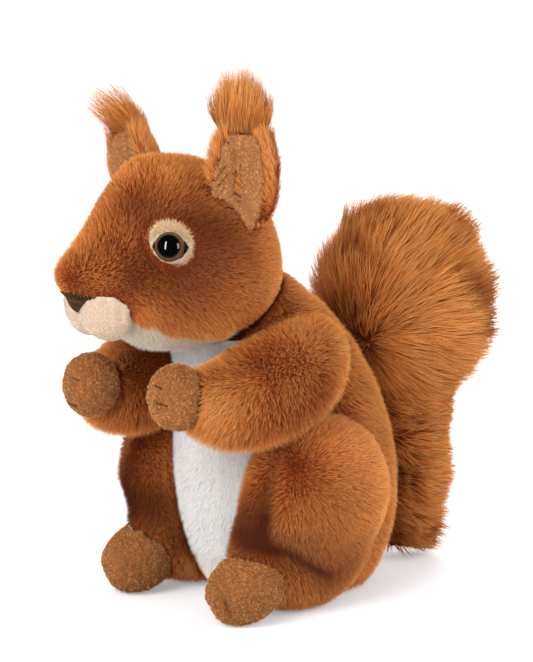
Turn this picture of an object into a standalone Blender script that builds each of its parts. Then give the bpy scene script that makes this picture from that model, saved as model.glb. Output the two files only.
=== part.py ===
"""Plush squirrel, sitting up on its haunches with its paws held together.

Units are metres, +Z is up and the squirrel faces -Y, so its left side is +X.
The origin is the centre of the flat seat under the torso.
Every stuffed piece is one closed solid: its cover and the filling inside it.
Pieces that are sewn together are cut to each other's shape, a seam gap apart.
"""

import math

import bmesh
import bpy
from mathutils import Matrix, Vector
from mathutils.bvhtree import BVHTree

# Space left between two pieces that are sewn or pressed together
SEAM_GAP = 0.0003

# Torso: a leaning pear that is cut flat where it sits
TORSO_HEIGHT = 0.168
TORSO_BELOW_SEAT = 0.010
HIP_HALF_WIDTH = 0.049
HIP_FRONT = 0.062
HIP_BACK = 0.049
SHOULDER_HALF_WIDTH = 0.038
SHOULDER_FRONT = 0.044
SHOULDER_BACK = 0.036
TORSO_LEAN = 0.066

# Belly panel, seen from the front
BELLY_BOTTOM = 0.006
BELLY_TOP = 0.124
BELLY_HALF_WIDTH = 0.0345
BELLY_DEPTH = 0.004

# Head, from the tip of the snout to the back of the skull
HEAD_HEIGHT = 0.156
HEAD_FORWARD = 0.072
HEAD_YAW = math.radians(12)
HEAD_FRONT = 0.060
HEAD_BACK = 0.047
SNOUT_HALF_WIDTH = 0.027
SKULL_HALF_WIDTH = 0.050
SNOUT_TOP = 0.021
SKULL_TOP = 0.052
JAW_DROP = 0.037
SNOUT_DROP = 0.020
# Shares of the head's length between which the bridge of the nose climbs to the forehead
BROW_START = 0.07
BROW_END = 0.385

# Chin panel, seen from below
CHIN_FRONT = 0.044
CHIN_LENGTH = 0.072
CHIN_HALF_WIDTH = 0.031
CHIN_DEPTH = 0.004

# Muzzle pads, one on each side of the snout's middle seam
MUZZLE_FORWARD = 0.040
MUZZLE_DROP = 0.0140
MUZZLE_HALF_WIDTH = 0.0150
MUZZLE_HALF_LENGTH = 0.0122
MUZZLE_HALF_HEIGHT = 0.0150
MUZZLE_CENTRE = 0.0090
MUZZLE_WRAP = math.radians(8)

# Eyes: a 13 mm safety eye with its shank, its lock washer and its felt backing
EYE_FORWARD = 0.0215
EYE_UP = 0.014
EYE_RADIUS = 0.0065
EYE_DOME = 0.0044
SHANK_RADIUS = 0.0019
SHANK_LENGTH = 0.0125
SHANK_CLEARANCE = 0.0004
WASHER_RADIUS = 0.0068
WASHER_THICKNESS = 0.0014
WASHER_INSET = 0.0070
FELT_THICKNESS = 0.0009
FELT_HALF_LENGTH = 0.0080
FELT_HALF_HEIGHT = 0.0070
EYE_PATCH_HALF_LENGTH = 0.0085
EYE_PATCH_HALF_HEIGHT = 0.0098
EYE_PATCH_BACK = 0.0014
EYE_PATCH_RAISE = 0.0014
EYE_PATCH_DEPTH = 0.0030

# Ears: a cupped leaf of plush, a lining in its hollow and a tuft of long hair
EAR_FORWARD = -0.016
EAR_UP = 0.030
EAR_SIDE = 0.034
EAR_HEIGHT = 0.046
EAR_HALF_WIDTH = 0.0165
EAR_THICKNESS = 0.0120
EAR_CUP = 0.0090
# 2 gives the leaf an oval top, and more a squarer one
EAR_SQUARENESS = 3.0
LEFT_EAR_TURN = math.radians(46)
LEFT_EAR_SPLAY = math.radians(6)
LEFT_EAR_LEAN = math.radians(1)
RIGHT_EAR_TURN = math.radians(2)
RIGHT_EAR_SPLAY = math.radians(29)
RIGHT_EAR_LEAN = math.radians(6)
LINING_MARGIN = 0.0036
LINING_SHIFT = 0.0015
LINING_THICKNESS = 0.0060
LINING_PROUD = 0.0042
TUFT_LENGTH = 0.024
TUFT_HALF_WIDTH = 0.0105
TUFT_HALF_DEPTH = 0.0070
TUFT_SHIFT = 0.0045
LEFT_TUFT_FORWARD = 0.002
RIGHT_TUFT_FORWARD = 0.0085
TUFT_TIPS = 6
TUFT_OVERLAP = 0.002
TUFT_ROOT = 0.003
TUFT_ROOT_SPREAD = 0.9
TUFT_CREST_SPREAD = 1.25
LEFT_TUFT_TILT = math.radians(8)
RIGHT_TUFT_TILT = math.radians(28)

# Arms, from the shoulder to the wrist, given for the left one
ARM_PATH = (
    Vector((0.030, -0.016, 0.124)),
    Vector((0.043, -0.040, 0.112)),
    Vector((0.040, -0.070, 0.102)),
    Vector((0.0305, -0.094, 0.1045)),
)
SHOULDER_RADIUS = 0.024
FOREARM_RADIUS = 0.0235
WRIST_RADIUS = 0.019
RIGHT_ARM_DROP = 0.005
ARM_SAG = (0.0, 1.0, 1.0, 0.5)
PAW_FORWARD = 0.004
PAW_HALF_WIDTH = 0.0135
PAW_HALF_LENGTH = 0.0135
PAW_HALF_HEIGHT = 0.0150

# Legs: a big haunch whose lower front runs down to the foot
LEG_SIDE = 0.045
LEG_FORWARD = 0.030
LEG_HEIGHT = 0.092
LEG_HALF_WIDTH = 0.026
LEG_HALF_LENGTH = 0.041
SHIN_INWARD = 0.011
THIGH_CREASE = (Vector((0.008, -0.034, 0.070)), Vector((0.009, -0.038, 0.043)))
ANKLE_CREASE = (
    Vector((0.000, -0.040, 0.040)),
    Vector((0.013, -0.027, 0.034)),
    Vector((0.0135, -0.002, 0.0195)),
)
CREASE_WIDTH = 0.006
CREASE_DEPTH = 0.0035

# Feet, toes down and flat underneath
FOOT_SIDE = 0.0375
FOOT_FORWARD = 0.0645
FOOT_HEIGHT = 0.0160
FOOT_HALF_WIDTH = 0.0170
FOOT_HALF_LENGTH = 0.0212
FOOT_HALF_HEIGHT = 0.0155
FOOT_TILT = math.radians(26)
TOE_CREASE = 0.0022

# Tail: a brush of long hair that climbs the back and opens into a fan
TAIL_BACK = 0.072
TAIL_HEIGHT = 0.178
TAIL_BELOW_FLOOR = 0.006
TAIL_STEM_HALF_WIDTH = 0.025
TAIL_STEM_HALF_DEPTH = 0.029
TAIL_FAN_HALF_WIDTH = 0.044
TAIL_FAN_HALF_DEPTH = 0.050
TAIL_FAN_LEAN = 0.004
TAIL_LOCK_REACH = 0.006
TAIL_LOCK_ROWS = 6
TAIL_LOCKS_AROUND = 7

# Colours as linear RGB, with a roughness for each cloth or plastic
RUST_PLUSH = ("rust_plush", (0.42, 0.13, 0.035), 0.95)
LONG_PLUSH = ("long_rust_plush", (0.52, 0.19, 0.05), 0.90)
WHITE_PLUSH = ("white_plush", (0.80, 0.77, 0.73), 0.95)
CREAM_PLUSH = ("cream_plush", (0.72, 0.60, 0.47), 0.95)
TAN_PLUSH = ("tan_short_plush", (0.36, 0.19, 0.08), 0.95)
MUZZLE_PLUSH = ("muzzle_short_plush", (0.74, 0.62, 0.53), 0.95)
EAR_LINING_PLUSH = ("ear_lining_plush", (0.50, 0.28, 0.13), 0.95)
BLACK_FELT = ("black_felt", (0.03, 0.022, 0.016), 1.0)
EYE_PLASTIC = ("eye_plastic", (0.05, 0.03, 0.02), 0.08)
WASHER_PLASTIC = ("washer_plastic", (0.70, 0.70, 0.68), 0.45)


# Small helpers for shapes


def ease(low, high, value):
    """0 up to low, 1 from high on, and a smooth step between."""
    share = min(1.0, max(0.0, (value - low) / (high - low)))
    return share * share * (3 - 2 * share)


def mix(first, second, share):
    return first + (second - first) * share


def closure(share, fullness=2.0):
    """The half width of a rounded form along its length, 0 at both ends and 1 between them."""
    return max(0.0, 1 - abs(2 * share - 1) ** fullness) ** (1 / fullness)


def along_curve(points, share):
    """A point on the smooth curve through points, which may be numbers or vectors."""
    place = min(max(share, 0.0), 1.0) * (len(points) - 1)
    index = min(int(place), len(points) - 2)
    t = place - index
    before = points[max(index - 1, 0)]
    start = points[index]
    end = points[index + 1]
    after = points[min(index + 2, len(points) - 1)]
    out = (end - before) * 0.5
    back = (after - start) * 0.5
    return (
        start * (2 * t**3 - 3 * t**2 + 1)
        + out * (t**3 - 2 * t**2 + t)
        + end * (3 * t**2 - 2 * t**3)
        + back * (t**3 - t**2)
    )


def material(kind):
    name, colour, roughness = kind
    made = bpy.data.materials.get(name)
    if made is None:
        made = bpy.data.materials.new(name)
        made.use_nodes = True
        shader = made.node_tree.nodes["Principled BSDF"]
        shader.inputs["Base Color"].default_value = (*colour, 1.0)
        shader.inputs["Roughness"].default_value = roughness
        shader.inputs["Metallic"].default_value = 0.0
        made.diffuse_color = (*colour, 1.0)
    return made


def add_object(name, bm, kind=None, place=(0, 0, 0), parent=None):
    """Turns a bmesh into a named object. Without a material it is a guide that the build leaves out."""
    bm.normal_update()
    bmesh.ops.recalc_face_normals(bm, faces=bm.faces)
    # Bent faces would be split one way in the piece and another way in its grown copy
    bmesh.ops.triangulate(bm, faces=bm.faces)
    mesh = bpy.data.meshes.new(name)
    bm.to_mesh(mesh)
    bm.free()
    mesh.shade_smooth()
    mesh.set_sharp_from_angle(angle=math.radians(60))
    piece = bpy.data.objects.new(name, mesh)
    bpy.context.scene.collection.objects.link(piece)
    piece.location = place
    piece.parent = parent
    if kind is None:
        piece.hide_render = True
        piece.display_type = "WIRE"
    else:
        mesh.materials.append(material(kind))
    return piece


def add_empty(name, place, turn=(0, 0, 0), parent=None):
    empty = bpy.data.objects.new(name, None)
    bpy.context.scene.collection.objects.link(empty)
    empty.location = place
    empty.rotation_euler = turn
    empty.parent = parent
    return empty


def grown(piece, distance):
    """A guide with the shape that piece was modelled with, swollen by distance along its normals."""
    guide = bpy.data.objects.new(f"{piece.name}_grown", piece.data)
    bpy.context.scene.collection.objects.link(guide)
    guide.location = piece.location
    guide.rotation_euler = piece.rotation_euler
    guide.parent = piece.parent
    guide.hide_render = True
    guide.display_type = "WIRE"
    swell = guide.modifiers.new("swell", "DISPLACE")
    swell.strength = distance
    swell.mid_level = 0.0
    return guide


def combine(piece, operation, other, self_crossing=False):
    step = piece.modifiers.new(f"{operation.lower()} {other.name}", "BOOLEAN")
    step.operation = operation
    step.object = other
    step.solver = "EXACT"
    step.use_self = self_crossing


def seat_on(piece, *neighbours):
    """Cuts piece to the shape of what it is sewn to, a seam gap away."""
    for neighbour in neighbours:
        combine(piece, "DIFFERENCE", grown(neighbour, SEAM_GAP))


def stuffed(section, around, along):
    """A closed rounded form. section(s) gives the centre, the half width and the half heights above
    and below at a share s of its length, each as a vector."""
    bm = bmesh.new()
    bmesh.ops.create_uvsphere(bm, u_segments=around, v_segments=along, radius=1.0)
    for vertex in bm.verts:
        ball = vertex.co.copy()
        rim = math.hypot(ball.x, ball.y)
        turn = (ball.x / rim, ball.y / rim) if rim > 1e-6 else (0.0, 0.0)
        centre, side, above, below = section((1 - ball.z) / 2)
        lift = above if turn[1] > 0 else below
        vertex.co = centre + side * turn[0] + lift * turn[1]
    bm.normal_update()
    return bm


def cut_flat(bm, point, normal):
    """Removes what lies on normal's side of a plane and closes the cut with a flat face."""
    geometry = bm.verts[:] + bm.edges[:] + bm.faces[:]
    cut = bmesh.ops.bisect_plane(
        bm, geom=geometry, plane_co=point, plane_no=normal, clear_outer=True
    )
    rim = [item for item in cut["geom_cut"] if isinstance(item, bmesh.types.BMEdge)]
    bmesh.ops.holes_fill(bm, edges=rim, sides=0)


def press_groove(bm, start, end, width, depth):
    """Draws the surface in along the line from start to end, as a stitched fold does."""
    bm.normal_update()
    line = end - start
    moves = []
    for vertex in bm.verts:
        share = min(1.0, max(0.0, (vertex.co - start).dot(line) / line.length_squared))
        away = (vertex.co - start - line * share).length
        moves.append(vertex.normal * depth * math.exp(-((away / width) ** 2)))
    for vertex, move in zip(bm.verts, moves):
        vertex.co -= move


def prism(outline, low, high, flat_axis):
    """A closed bar with this outline, running from low to high along flat_axis ("Y", "Z" or "X")."""
    bm = bmesh.new()
    lay = {
        "X": lambda a, b: Vector((low, a, b)),
        "Y": lambda a, b: Vector((a, low, b)),
        "Z": lambda a, b: Vector((a, b, low)),
    }[flat_axis]
    run = {"X": Vector((1, 0, 0)), "Y": Vector((0, 1, 0)), "Z": Vector((0, 0, 1))}[flat_axis]
    face = bm.faces.new([bm.verts.new(lay(a, b)) for a, b in outline])
    top = bmesh.ops.extrude_face_region(bm, geom=[face])["geom"]
    moved = [item for item in top if isinstance(item, bmesh.types.BMVert)]
    bmesh.ops.translate(bm, verts=moved, vec=run * (high - low))
    return bm


def turned(profile, segments):
    """A solid of revolution about Z. profile runs from axis to axis as (radius, height) pairs."""
    bm = bmesh.new()
    line = [bm.verts.new((radius, 0, height)) for radius, height in profile]
    edges = [bm.edges.new(pair) for pair in zip(line, line[1:])]
    bmesh.ops.spin(
        bm,
        geom=line + edges,
        cent=(0, 0, 0),
        axis=(0, 0, 1),
        angle=math.tau,
        steps=segments,
        use_merge=True,
    )
    bmesh.ops.remove_doubles(bm, verts=bm.verts, dist=1e-6)
    return bm


def inlay(name, body, outline_bar, depth, kind):
    """A panel of another cloth let into body's skin. outline_bar(margin) gives the bar that cuts its outline."""
    panel = bpy.data.objects.new(name, body.data.copy())
    bpy.context.scene.collection.objects.link(panel)
    panel.location = body.location
    panel.rotation_euler = body.rotation_euler
    panel.parent = body.parent
    panel.data.materials.clear()
    panel.data.materials.append(material(kind))
    bar = add_object(f"{name}_outline", outline_bar(0.0), None, body.location, body.parent)
    combine(panel, "INTERSECT", bar)
    combine(panel, "DIFFERENCE", grown(body, SEAM_GAP - depth))
    opening = add_object(
        f"{name}_opening", outline_bar(SEAM_GAP), None, body.location, body.parent
    )
    combine(opening, "DIFFERENCE", grown(body, -depth))
    combine(body, "DIFFERENCE", opening)
    return panel


def rounded_leaf(centre, half_length, half_height, points, sharpness=2.0):
    """An oval outline whose ends grow pointed as sharpness falls towards 1."""
    outline = []
    for step in range(points):
        angle = math.tau * step / points
        rise = math.copysign(abs(math.sin(angle)) ** (2 / sharpness), math.sin(angle))
        outline.append(
            (centre[0] + half_length * math.cos(angle), centre[1] + half_height * rise)
        )
    return outline


# Pieces


def make_torso():
    def section(share):
        height = mix(-TORSO_BELOW_SEAT, TORSO_HEIGHT, share)
        swell = closure(share, 3.0)
        narrowing = ease(0.30, 0.95, share)
        side = swell * mix(HIP_HALF_WIDTH, SHOULDER_HALF_WIDTH, narrowing)
        back = swell * mix(HIP_BACK, SHOULDER_BACK, narrowing)
        front = swell * mix(HIP_FRONT, SHOULDER_FRONT, narrowing)
        centre = Vector((0, -TORSO_LEAN * share**4, height))
        return centre, Vector((side, 0, 0)), Vector((0, back, 0)), Vector((0, front, 0))

    bm = stuffed(section, 22, 14)
    cut_flat(bm, (0, 0, 0), (0, 0, -1))
    return add_object("torso", bm, RUST_PLUSH)


def belly_bar(margin):
    """The belly's outline: narrow at the crotch, widest at the chest, from the front to mid body."""
    half = []
    steps = 7
    for step in range(steps + 1):
        share = step / steps
        height = mix(BELLY_BOTTOM - margin, BELLY_TOP + margin, share)
        width = BELLY_HALF_WIDTH * mix(0.2, 1.0, ease(-0.1, 0.75, share))
        half.append((width + margin, height))
    mirrored = [(-width, height) for width, height in reversed(half)]
    return prism(half + mirrored, -0.2, -0.026, "Y")


def make_head(head_pose):
    length = HEAD_FRONT + HEAD_BACK

    def section(share):
        swell = closure(share)
        side = swell * mix(SNOUT_HALF_WIDTH, SKULL_HALF_WIDTH, ease(0.0, 0.75, share))
        top = swell * mix(SNOUT_TOP, SKULL_TOP, ease(BROW_START, BROW_END, share))
        bottom = swell * mix(SNOUT_DROP, JAW_DROP, ease(0.05, 0.42, share))
        centre = Vector((0, share * length - HEAD_FRONT, 0))
        return centre, Vector((side, 0, 0)), Vector((0, 0, top)), Vector((0, 0, bottom))

    bm = stuffed(section, 22, 14)
    surface = BVHTree.FromBMesh(bm)
    return add_object("head", bm, RUST_PLUSH, parent=head_pose), surface


def chin_bar(margin):
    """The chin's outline from below: a tongue that widens from under the muzzle to the throat."""
    half = []
    steps = 7
    for step in range(steps + 1):
        share = step / steps
        width = (CHIN_HALF_WIDTH - 0.004) * closure(share, 1.9) * mix(0.75, 1.1, share)
        forward = mix(-CHIN_FRONT - margin, CHIN_LENGTH - CHIN_FRONT + margin, share)
        half.append((width + 0.004 + margin, forward))
    mirrored = [(-width, forward) for width, forward in reversed(half)]
    return prism(half + mirrored, -0.1, -0.008, "Z")


def make_muzzle(head_pose, side):
    name = "left" if side > 0 else "right"
    bm = bmesh.new()
    bmesh.ops.create_uvsphere(bm, u_segments=12, v_segments=8, radius=1.0)
    shape = Matrix.Diagonal((MUZZLE_HALF_WIDTH, MUZZLE_HALF_LENGTH, MUZZLE_HALF_HEIGHT, 1))
    bmesh.ops.transform(bm, matrix=shape, verts=bm.verts)
    bmesh.ops.translate(bm, verts=bm.verts, vec=(side * MUZZLE_CENTRE, 0, 0))
    wrap = Matrix.Rotation(side * MUZZLE_WRAP, 3, "Z")
    bmesh.ops.rotate(bm, verts=bm.verts, cent=(0, 0, 0), matrix=wrap)
    cut_flat(bm, (side * SEAM_GAP / 2, 0, 0), (-side, 0, 0))
    place = (0, -MUZZLE_FORWARD, -MUZZLE_DROP)
    return add_object(f"muzzle_pad_{name}", bm, MUZZLE_PLUSH, place, head_pose)


def eye_seat(surface, side):
    """Where an eye sits on the head: the point on the skin and the turn that takes +Z to its normal."""
    start = Vector((0, -EYE_FORWARD, EYE_UP))
    point, normal, _, _ = surface.ray_cast(start, Vector((side, 0, 0)))
    outward = normal if normal.x * side > 0 else -normal
    return point, outward.to_track_quat("Z", "Y").to_euler()


def eye_profile():
    """Half of the eye's section: a dome, its flat back and a shank that runs into the head."""
    dome = []
    steps = 5
    for step in range(steps + 1):
        angle = 0.5 * math.pi * step / steps
        dome.append((EYE_RADIUS * math.sin(angle), EYE_DOME * math.cos(angle)))
    shank = [(SHANK_RADIUS, 0.0), (SHANK_RADIUS, -SHANK_LENGTH), (0.0, -SHANK_LENGTH)]
    return dome + shank


def make_eye(head_pose, head, surface, side):
    name = "left" if side > 0 else "right"
    point, turn = eye_seat(surface, side)
    # The dome's back rests on the felt, which rests on the skin
    rise = FELT_THICKNESS + 3 * SEAM_GAP
    seat = add_empty(f"eye_seat_{name}", point, turn, head_pose)

    patch_bar = side_bar(side, point, EYE_PATCH_BACK, EYE_PATCH_RAISE,
                         EYE_PATCH_HALF_LENGTH, EYE_PATCH_HALF_HEIGHT, 2.0)
    patch = inlay(f"eye_patch_{name}", head, patch_bar, EYE_PATCH_DEPTH, CREAM_PLUSH)

    felt_bar = side_bar(side, point, 0.0, 0.0, FELT_HALF_LENGTH, FELT_HALF_HEIGHT, 1.25)
    felt = grown(head, SEAM_GAP + FELT_THICKNESS)
    felt.data = head.data.copy()
    felt.data.materials.clear()
    felt.data.materials.append(material(BLACK_FELT))
    felt.name = f"eye_felt_{name}"
    felt.hide_render = False
    felt.display_type = "TEXTURED"
    combine(felt, "INTERSECT", add_object(f"felt_outline_{name}", felt_bar(0.0), None, parent=head_pose))
    seat_on(felt, head)

    add_object(f"eye_{name}", turned(eye_profile(), 14), EYE_PLASTIC, (0, 0, rise), seat)

    washer_top = -WASHER_INSET
    washer_bottom = washer_top - WASHER_THICKNESS
    bore = SHANK_RADIUS + SHANK_CLEARANCE
    ring = [
        (bore, washer_top),
        (WASHER_RADIUS, washer_top),
        (WASHER_RADIUS, washer_bottom),
        (bore, washer_bottom),
        (bore, washer_top),
    ]
    add_object(f"eye_washer_{name}", turned(ring, 12), WASHER_PLASTIC, parent=seat)

    pocket_radius = WASHER_RADIUS + SEAM_GAP
    pocket = [
        (0.0, EYE_DOME + rise),
        (bore, EYE_DOME + rise),
        (bore, washer_top + SEAM_GAP),
        (pocket_radius, washer_top + SEAM_GAP),
        (pocket_radius, washer_bottom - SEAM_GAP),
        (bore, washer_bottom - SEAM_GAP),
        (bore, rise - SHANK_LENGTH - SEAM_GAP),
        (0.0, rise - SHANK_LENGTH - SEAM_GAP),
    ]
    hole = add_object(f"eye_hole_{name}", turned(pocket, 12), None, parent=seat)
    for piece in (head, patch, felt):
        combine(piece, "DIFFERENCE", hole)


def side_bar(side, point, back, raised, half_length, half_height, sharpness):
    """An oval bar through the side of the head, centred near an eye."""

    def bar(margin):
        centre = (point.y + back, point.z + raised)
        outline = rounded_leaf(
            centre, half_length + margin, half_height + margin, 12, sharpness
        )
        low, high = sorted((side * 0.015, side * 0.080))
        return prism(outline, low, high, "X")

    return bar


def leaf(half_width, thickness, height, cup, offset, around, along):
    """An ear's leaf, standing on Z: rounded at the top, and cupped so that its edges come forward."""

    def section(share):
        swell = closure(share, EAR_SQUARENESS)
        width = half_width * swell * mix(0.86, 1.0, math.sin(math.pi * share))
        depth = Vector((0, 0.5 * thickness * swell, 0))
        centre = Vector((0, 0, height * (1 - share)))
        return centre, Vector((width, 0, 0)), depth, depth

    bm = stuffed(section, around, along)
    for vertex in bm.verts:
        vertex.co.y -= cup * (vertex.co.x / half_width) ** 2 + offset
    return bm


def make_ear(head_pose, head, side):
    name = "left" if side > 0 else "right"
    lean = LEFT_EAR_LEAN if side > 0 else RIGHT_EAR_LEAN
    splay = LEFT_EAR_SPLAY if side > 0 else -RIGHT_EAR_SPLAY
    root = Vector((side * EAR_SIDE, -EAR_FORWARD, EAR_UP - 0.010))
    ear_root = add_empty(f"ear_root_{name}", root, (0, splay, 0), head_pose)
    turn = LEFT_EAR_TURN if side > 0 else -RIGHT_EAR_TURN
    ear_pose = add_empty(f"ear_pose_{name}", (0, 0, 0), (lean, 0, turn), ear_root)

    body = leaf(EAR_HALF_WIDTH, EAR_THICKNESS, EAR_HEIGHT, EAR_CUP, 0.0, 16, 10)
    ear = add_object(f"ear_{name}", body, RUST_PLUSH, parent=ear_pose)
    seat_on(ear, head)

    inner = leaf(
        EAR_HALF_WIDTH - LINING_MARGIN,
        LINING_THICKNESS,
        EAR_HEIGHT - LINING_MARGIN,
        EAR_CUP * 0.62,
        LINING_PROUD,
        12,
        8,
    )
    press_groove(inner, Vector((0, -0.010, 0.008)), Vector((0, -0.010, 0.026)), 0.003, 0.0016)
    bmesh.ops.translate(inner, verts=inner.verts, vec=(-side * LINING_SHIFT, 0, 0))
    lining = add_object(f"ear_lining_{name}", inner, EAR_LINING_PLUSH, parent=ear_pose)
    seat_on(lining, ear, head)
    make_tuft(ear_pose, ear, lining, side)


def make_tuft(ear_pose, ear, lining, side):
    name = "left" if side > 0 else "right"
    tilt = LEFT_TUFT_TILT if side > 0 else RIGHT_TUFT_TILT
    forward = LEFT_TUFT_FORWARD if side > 0 else RIGHT_TUFT_FORWARD
    place = (-side * TUFT_SHIFT, -forward, EAR_HEIGHT - TUFT_OVERLAP)
    pose = add_empty(f"tuft_pose_{name}", place, (tilt, 0, 0), ear_pose)

    def section(share):
        swell = closure(share, 2.0) * mix(TUFT_CREST_SPREAD, TUFT_ROOT_SPREAD, share)
        centre = Vector((0, 0, mix(0.55 * TUFT_LENGTH, -TUFT_ROOT, share)))
        deep = Vector((0, swell * TUFT_HALF_DEPTH, 0))
        return centre, Vector((swell * TUFT_HALF_WIDTH, 0, 0)), deep, deep

    bm = stuffed(section, TUFT_TIPS * 4, 8)
    for vertex in bm.verts:
        around = math.atan2(vertex.co.y, vertex.co.x) * TUFT_TIPS / math.tau
        # The upper part is drawn out into a ring of tips
        crest = 1 - abs(2 * (around % 1) - 1)
        rise = ease(0.1, 0.55, vertex.co.z / TUFT_LENGTH)
        rim = math.hypot(vertex.co.x / TUFT_HALF_WIDTH, vertex.co.y / TUFT_HALF_DEPTH)
        vertex.co.z += rise * crest**2 * TUFT_LENGTH * 0.5 * min(1.0, 2.5 * rim)
    tuft = add_object(f"ear_tuft_{name}", bm, LONG_PLUSH, parent=pose)
    seat_on(tuft, ear, lining)
    return tuft


def limb(points, radii, around, along):
    """A stuffed limb along a smooth curve, rounded at both ends."""

    def section(share):
        step = 0.01
        here = along_curve(points, share)
        ahead = along_curve(points, share + step) - along_curve(points, share - step)
        across = ahead.cross(Vector((0, 0, 1))).normalized()
        upward = across.cross(ahead).normalized()
        radius = closure(share, 2.4) * along_curve(radii, share)
        return here, across * radius, upward * radius, upward * radius

    return stuffed(section, around, along)


def mirrored(point, side):
    return Vector((side * point.x, point.y, point.z))


def make_arm(torso, head, side):
    name = "left" if side > 0 else "right"
    drop = Vector((0, 0, 0 if side > 0 else -RIGHT_ARM_DROP))
    points = [mirrored(point, side) for point in ARM_PATH]
    points = [point + drop * sag for point, sag in zip(points, ARM_SAG)]
    radii = (SHOULDER_RADIUS, FOREARM_RADIUS, FOREARM_RADIUS, WRIST_RADIUS)
    arm = add_object(f"arm_{name}", limb(points, radii, 16, 12), RUST_PLUSH)
    seat_on(arm, torso, head)

    bm = bmesh.new()
    bmesh.ops.create_uvsphere(bm, u_segments=14, v_segments=10, radius=1.0)
    shape = Matrix.Diagonal((PAW_HALF_WIDTH, PAW_HALF_LENGTH, PAW_HALF_HEIGHT, 1))
    bmesh.ops.transform(bm, matrix=shape, verts=bm.verts)
    for level in (-0.35, 0.25):
        height = level * PAW_HALF_HEIGHT
        front = -PAW_HALF_LENGTH
        press_groove(
            bm,
            Vector((0.003, front, height)),
            Vector((-0.007, front, height)),
            0.0022,
            TOE_CREASE * 0.7,
        )
    place = points[-1] + Vector((0, -PAW_FORWARD, 0))
    paw = add_object(f"paw_{name}", bm, TAN_PLUSH, place)
    seat_on(paw, arm, head)
    return arm


def make_leg(torso, arm, side):
    name = "left" if side > 0 else "right"

    def section(share):
        swell = closure(share, 2.3)
        height = LEG_HEIGHT * (1 - share)
        inward = side * SHIN_INWARD * ease(0.40, 0.75, share)
        centre = Vector((-inward, 0, height))
        deep = Vector((0, swell * LEG_HALF_LENGTH, 0))
        return centre, Vector((swell * LEG_HALF_WIDTH, 0, 0)), deep, deep

    bm = stuffed(section, 20, 13)
    bmesh.ops.translate(bm, verts=bm.verts, vec=(0, 0, -0.0015))
    thigh_crease = [mirrored(point, side) for point in THIGH_CREASE]
    press_groove(bm, *thigh_crease, CREASE_WIDTH, CREASE_DEPTH)
    ankle_crease = [mirrored(point, side) for point in ANKLE_CREASE]
    for start, end in zip(ankle_crease, ankle_crease[1:]):
        press_groove(bm, start, end, CREASE_WIDTH, CREASE_DEPTH * 0.8)
    place = (side * LEG_SIDE, -LEG_FORWARD, 0)
    cut_flat(bm, (0, 0, 0), (0, 0, -1))
    leg = add_object(f"leg_{name}", bm, RUST_PLUSH, place)
    seat_on(leg, torso, arm)
    return leg


def make_foot(torso, leg, side):
    name = "left" if side > 0 else "right"
    bm = bmesh.new()
    bmesh.ops.create_uvsphere(bm, u_segments=16, v_segments=11, radius=1.0)
    shape = Matrix.Diagonal((FOOT_HALF_WIDTH, FOOT_HALF_LENGTH, FOOT_HALF_HEIGHT, 1))
    bmesh.ops.transform(bm, matrix=shape, verts=bm.verts)
    for toe in (-0.42, 0.10):
        across = toe * FOOT_HALF_WIDTH
        press_groove(
            bm,
            Vector((across, -FOOT_HALF_LENGTH, -0.008)),
            Vector((across, -FOOT_HALF_LENGTH * 0.9, 0.006)),
            0.0022,
            TOE_CREASE,
        )
    bmesh.ops.rotate(bm, verts=bm.verts, cent=(0, 0, 0), matrix=Matrix.Rotation(FOOT_TILT, 3, "X"))
    bmesh.ops.translate(bm, verts=bm.verts, vec=(0, 0, FOOT_HEIGHT))
    cut_flat(bm, (0, 0, 0), (0, 0, -1))
    place = (side * FOOT_SIDE, -FOOT_FORWARD, 0)
    foot = add_object(f"foot_{name}", bm, TAN_PLUSH, place)
    seat_on(foot, leg, torso)


def tail_section(share):
    """The tail's centre, half width and half depths, from its foot on the floor to the top of its fan."""
    fan = ease(0.44, 0.72, share)
    swell = closure(share, 2.7)
    height = mix(-TAIL_BELOW_FLOOR, TAIL_HEIGHT, share)
    side = Vector((swell * mix(TAIL_STEM_HALF_WIDTH, TAIL_FAN_HALF_WIDTH, fan), 0, 0))
    back = Vector((0, swell * mix(TAIL_STEM_HALF_DEPTH, TAIL_FAN_HALF_DEPTH, fan), 0))
    return Vector((0, TAIL_BACK - TAIL_FAN_LEAN * fan, height)), side, back, back


def make_tail(torso, legs):
    bm = stuffed(tail_section, TAIL_LOCKS_AROUND * 4, TAIL_LOCK_ROWS * 4 + 2)
    axis = Vector((0, TAIL_BACK, 0))
    moves = []
    for vertex in bm.verts:
        share = (vertex.co.z + TAIL_BELOW_FLOOR) / (TAIL_HEIGHT + TAIL_BELOW_FLOOR)
        away = Vector((vertex.co.x, vertex.co.y - axis.y, 0))
        if away.length < 0.001:
            moves.append(Vector())
            continue
        around = math.atan2(away.y, away.x) * TAIL_LOCKS_AROUND / math.tau
        # Each lock swells upwards to its tip, where the next row comes out from under it
        row = share * TAIL_LOCK_ROWS + 0.5 * abs(2 * (around % 1) - 1)
        crest = 1 - abs(2 * (around % 1) - 1)
        lift = (row % 1) * mix(0.35, 1.0, crest) - 0.35
        moves.append(away.normalized() * TAIL_LOCK_REACH * lift)
    for vertex, move in zip(bm.verts, moves):
        vertex.co += move
    cut_flat(bm, (0, 0, 0), (0, 0, -1))
    tail = add_object("tail", bm, LONG_PLUSH)
    seat_on(tail, torso, *legs)


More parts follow.
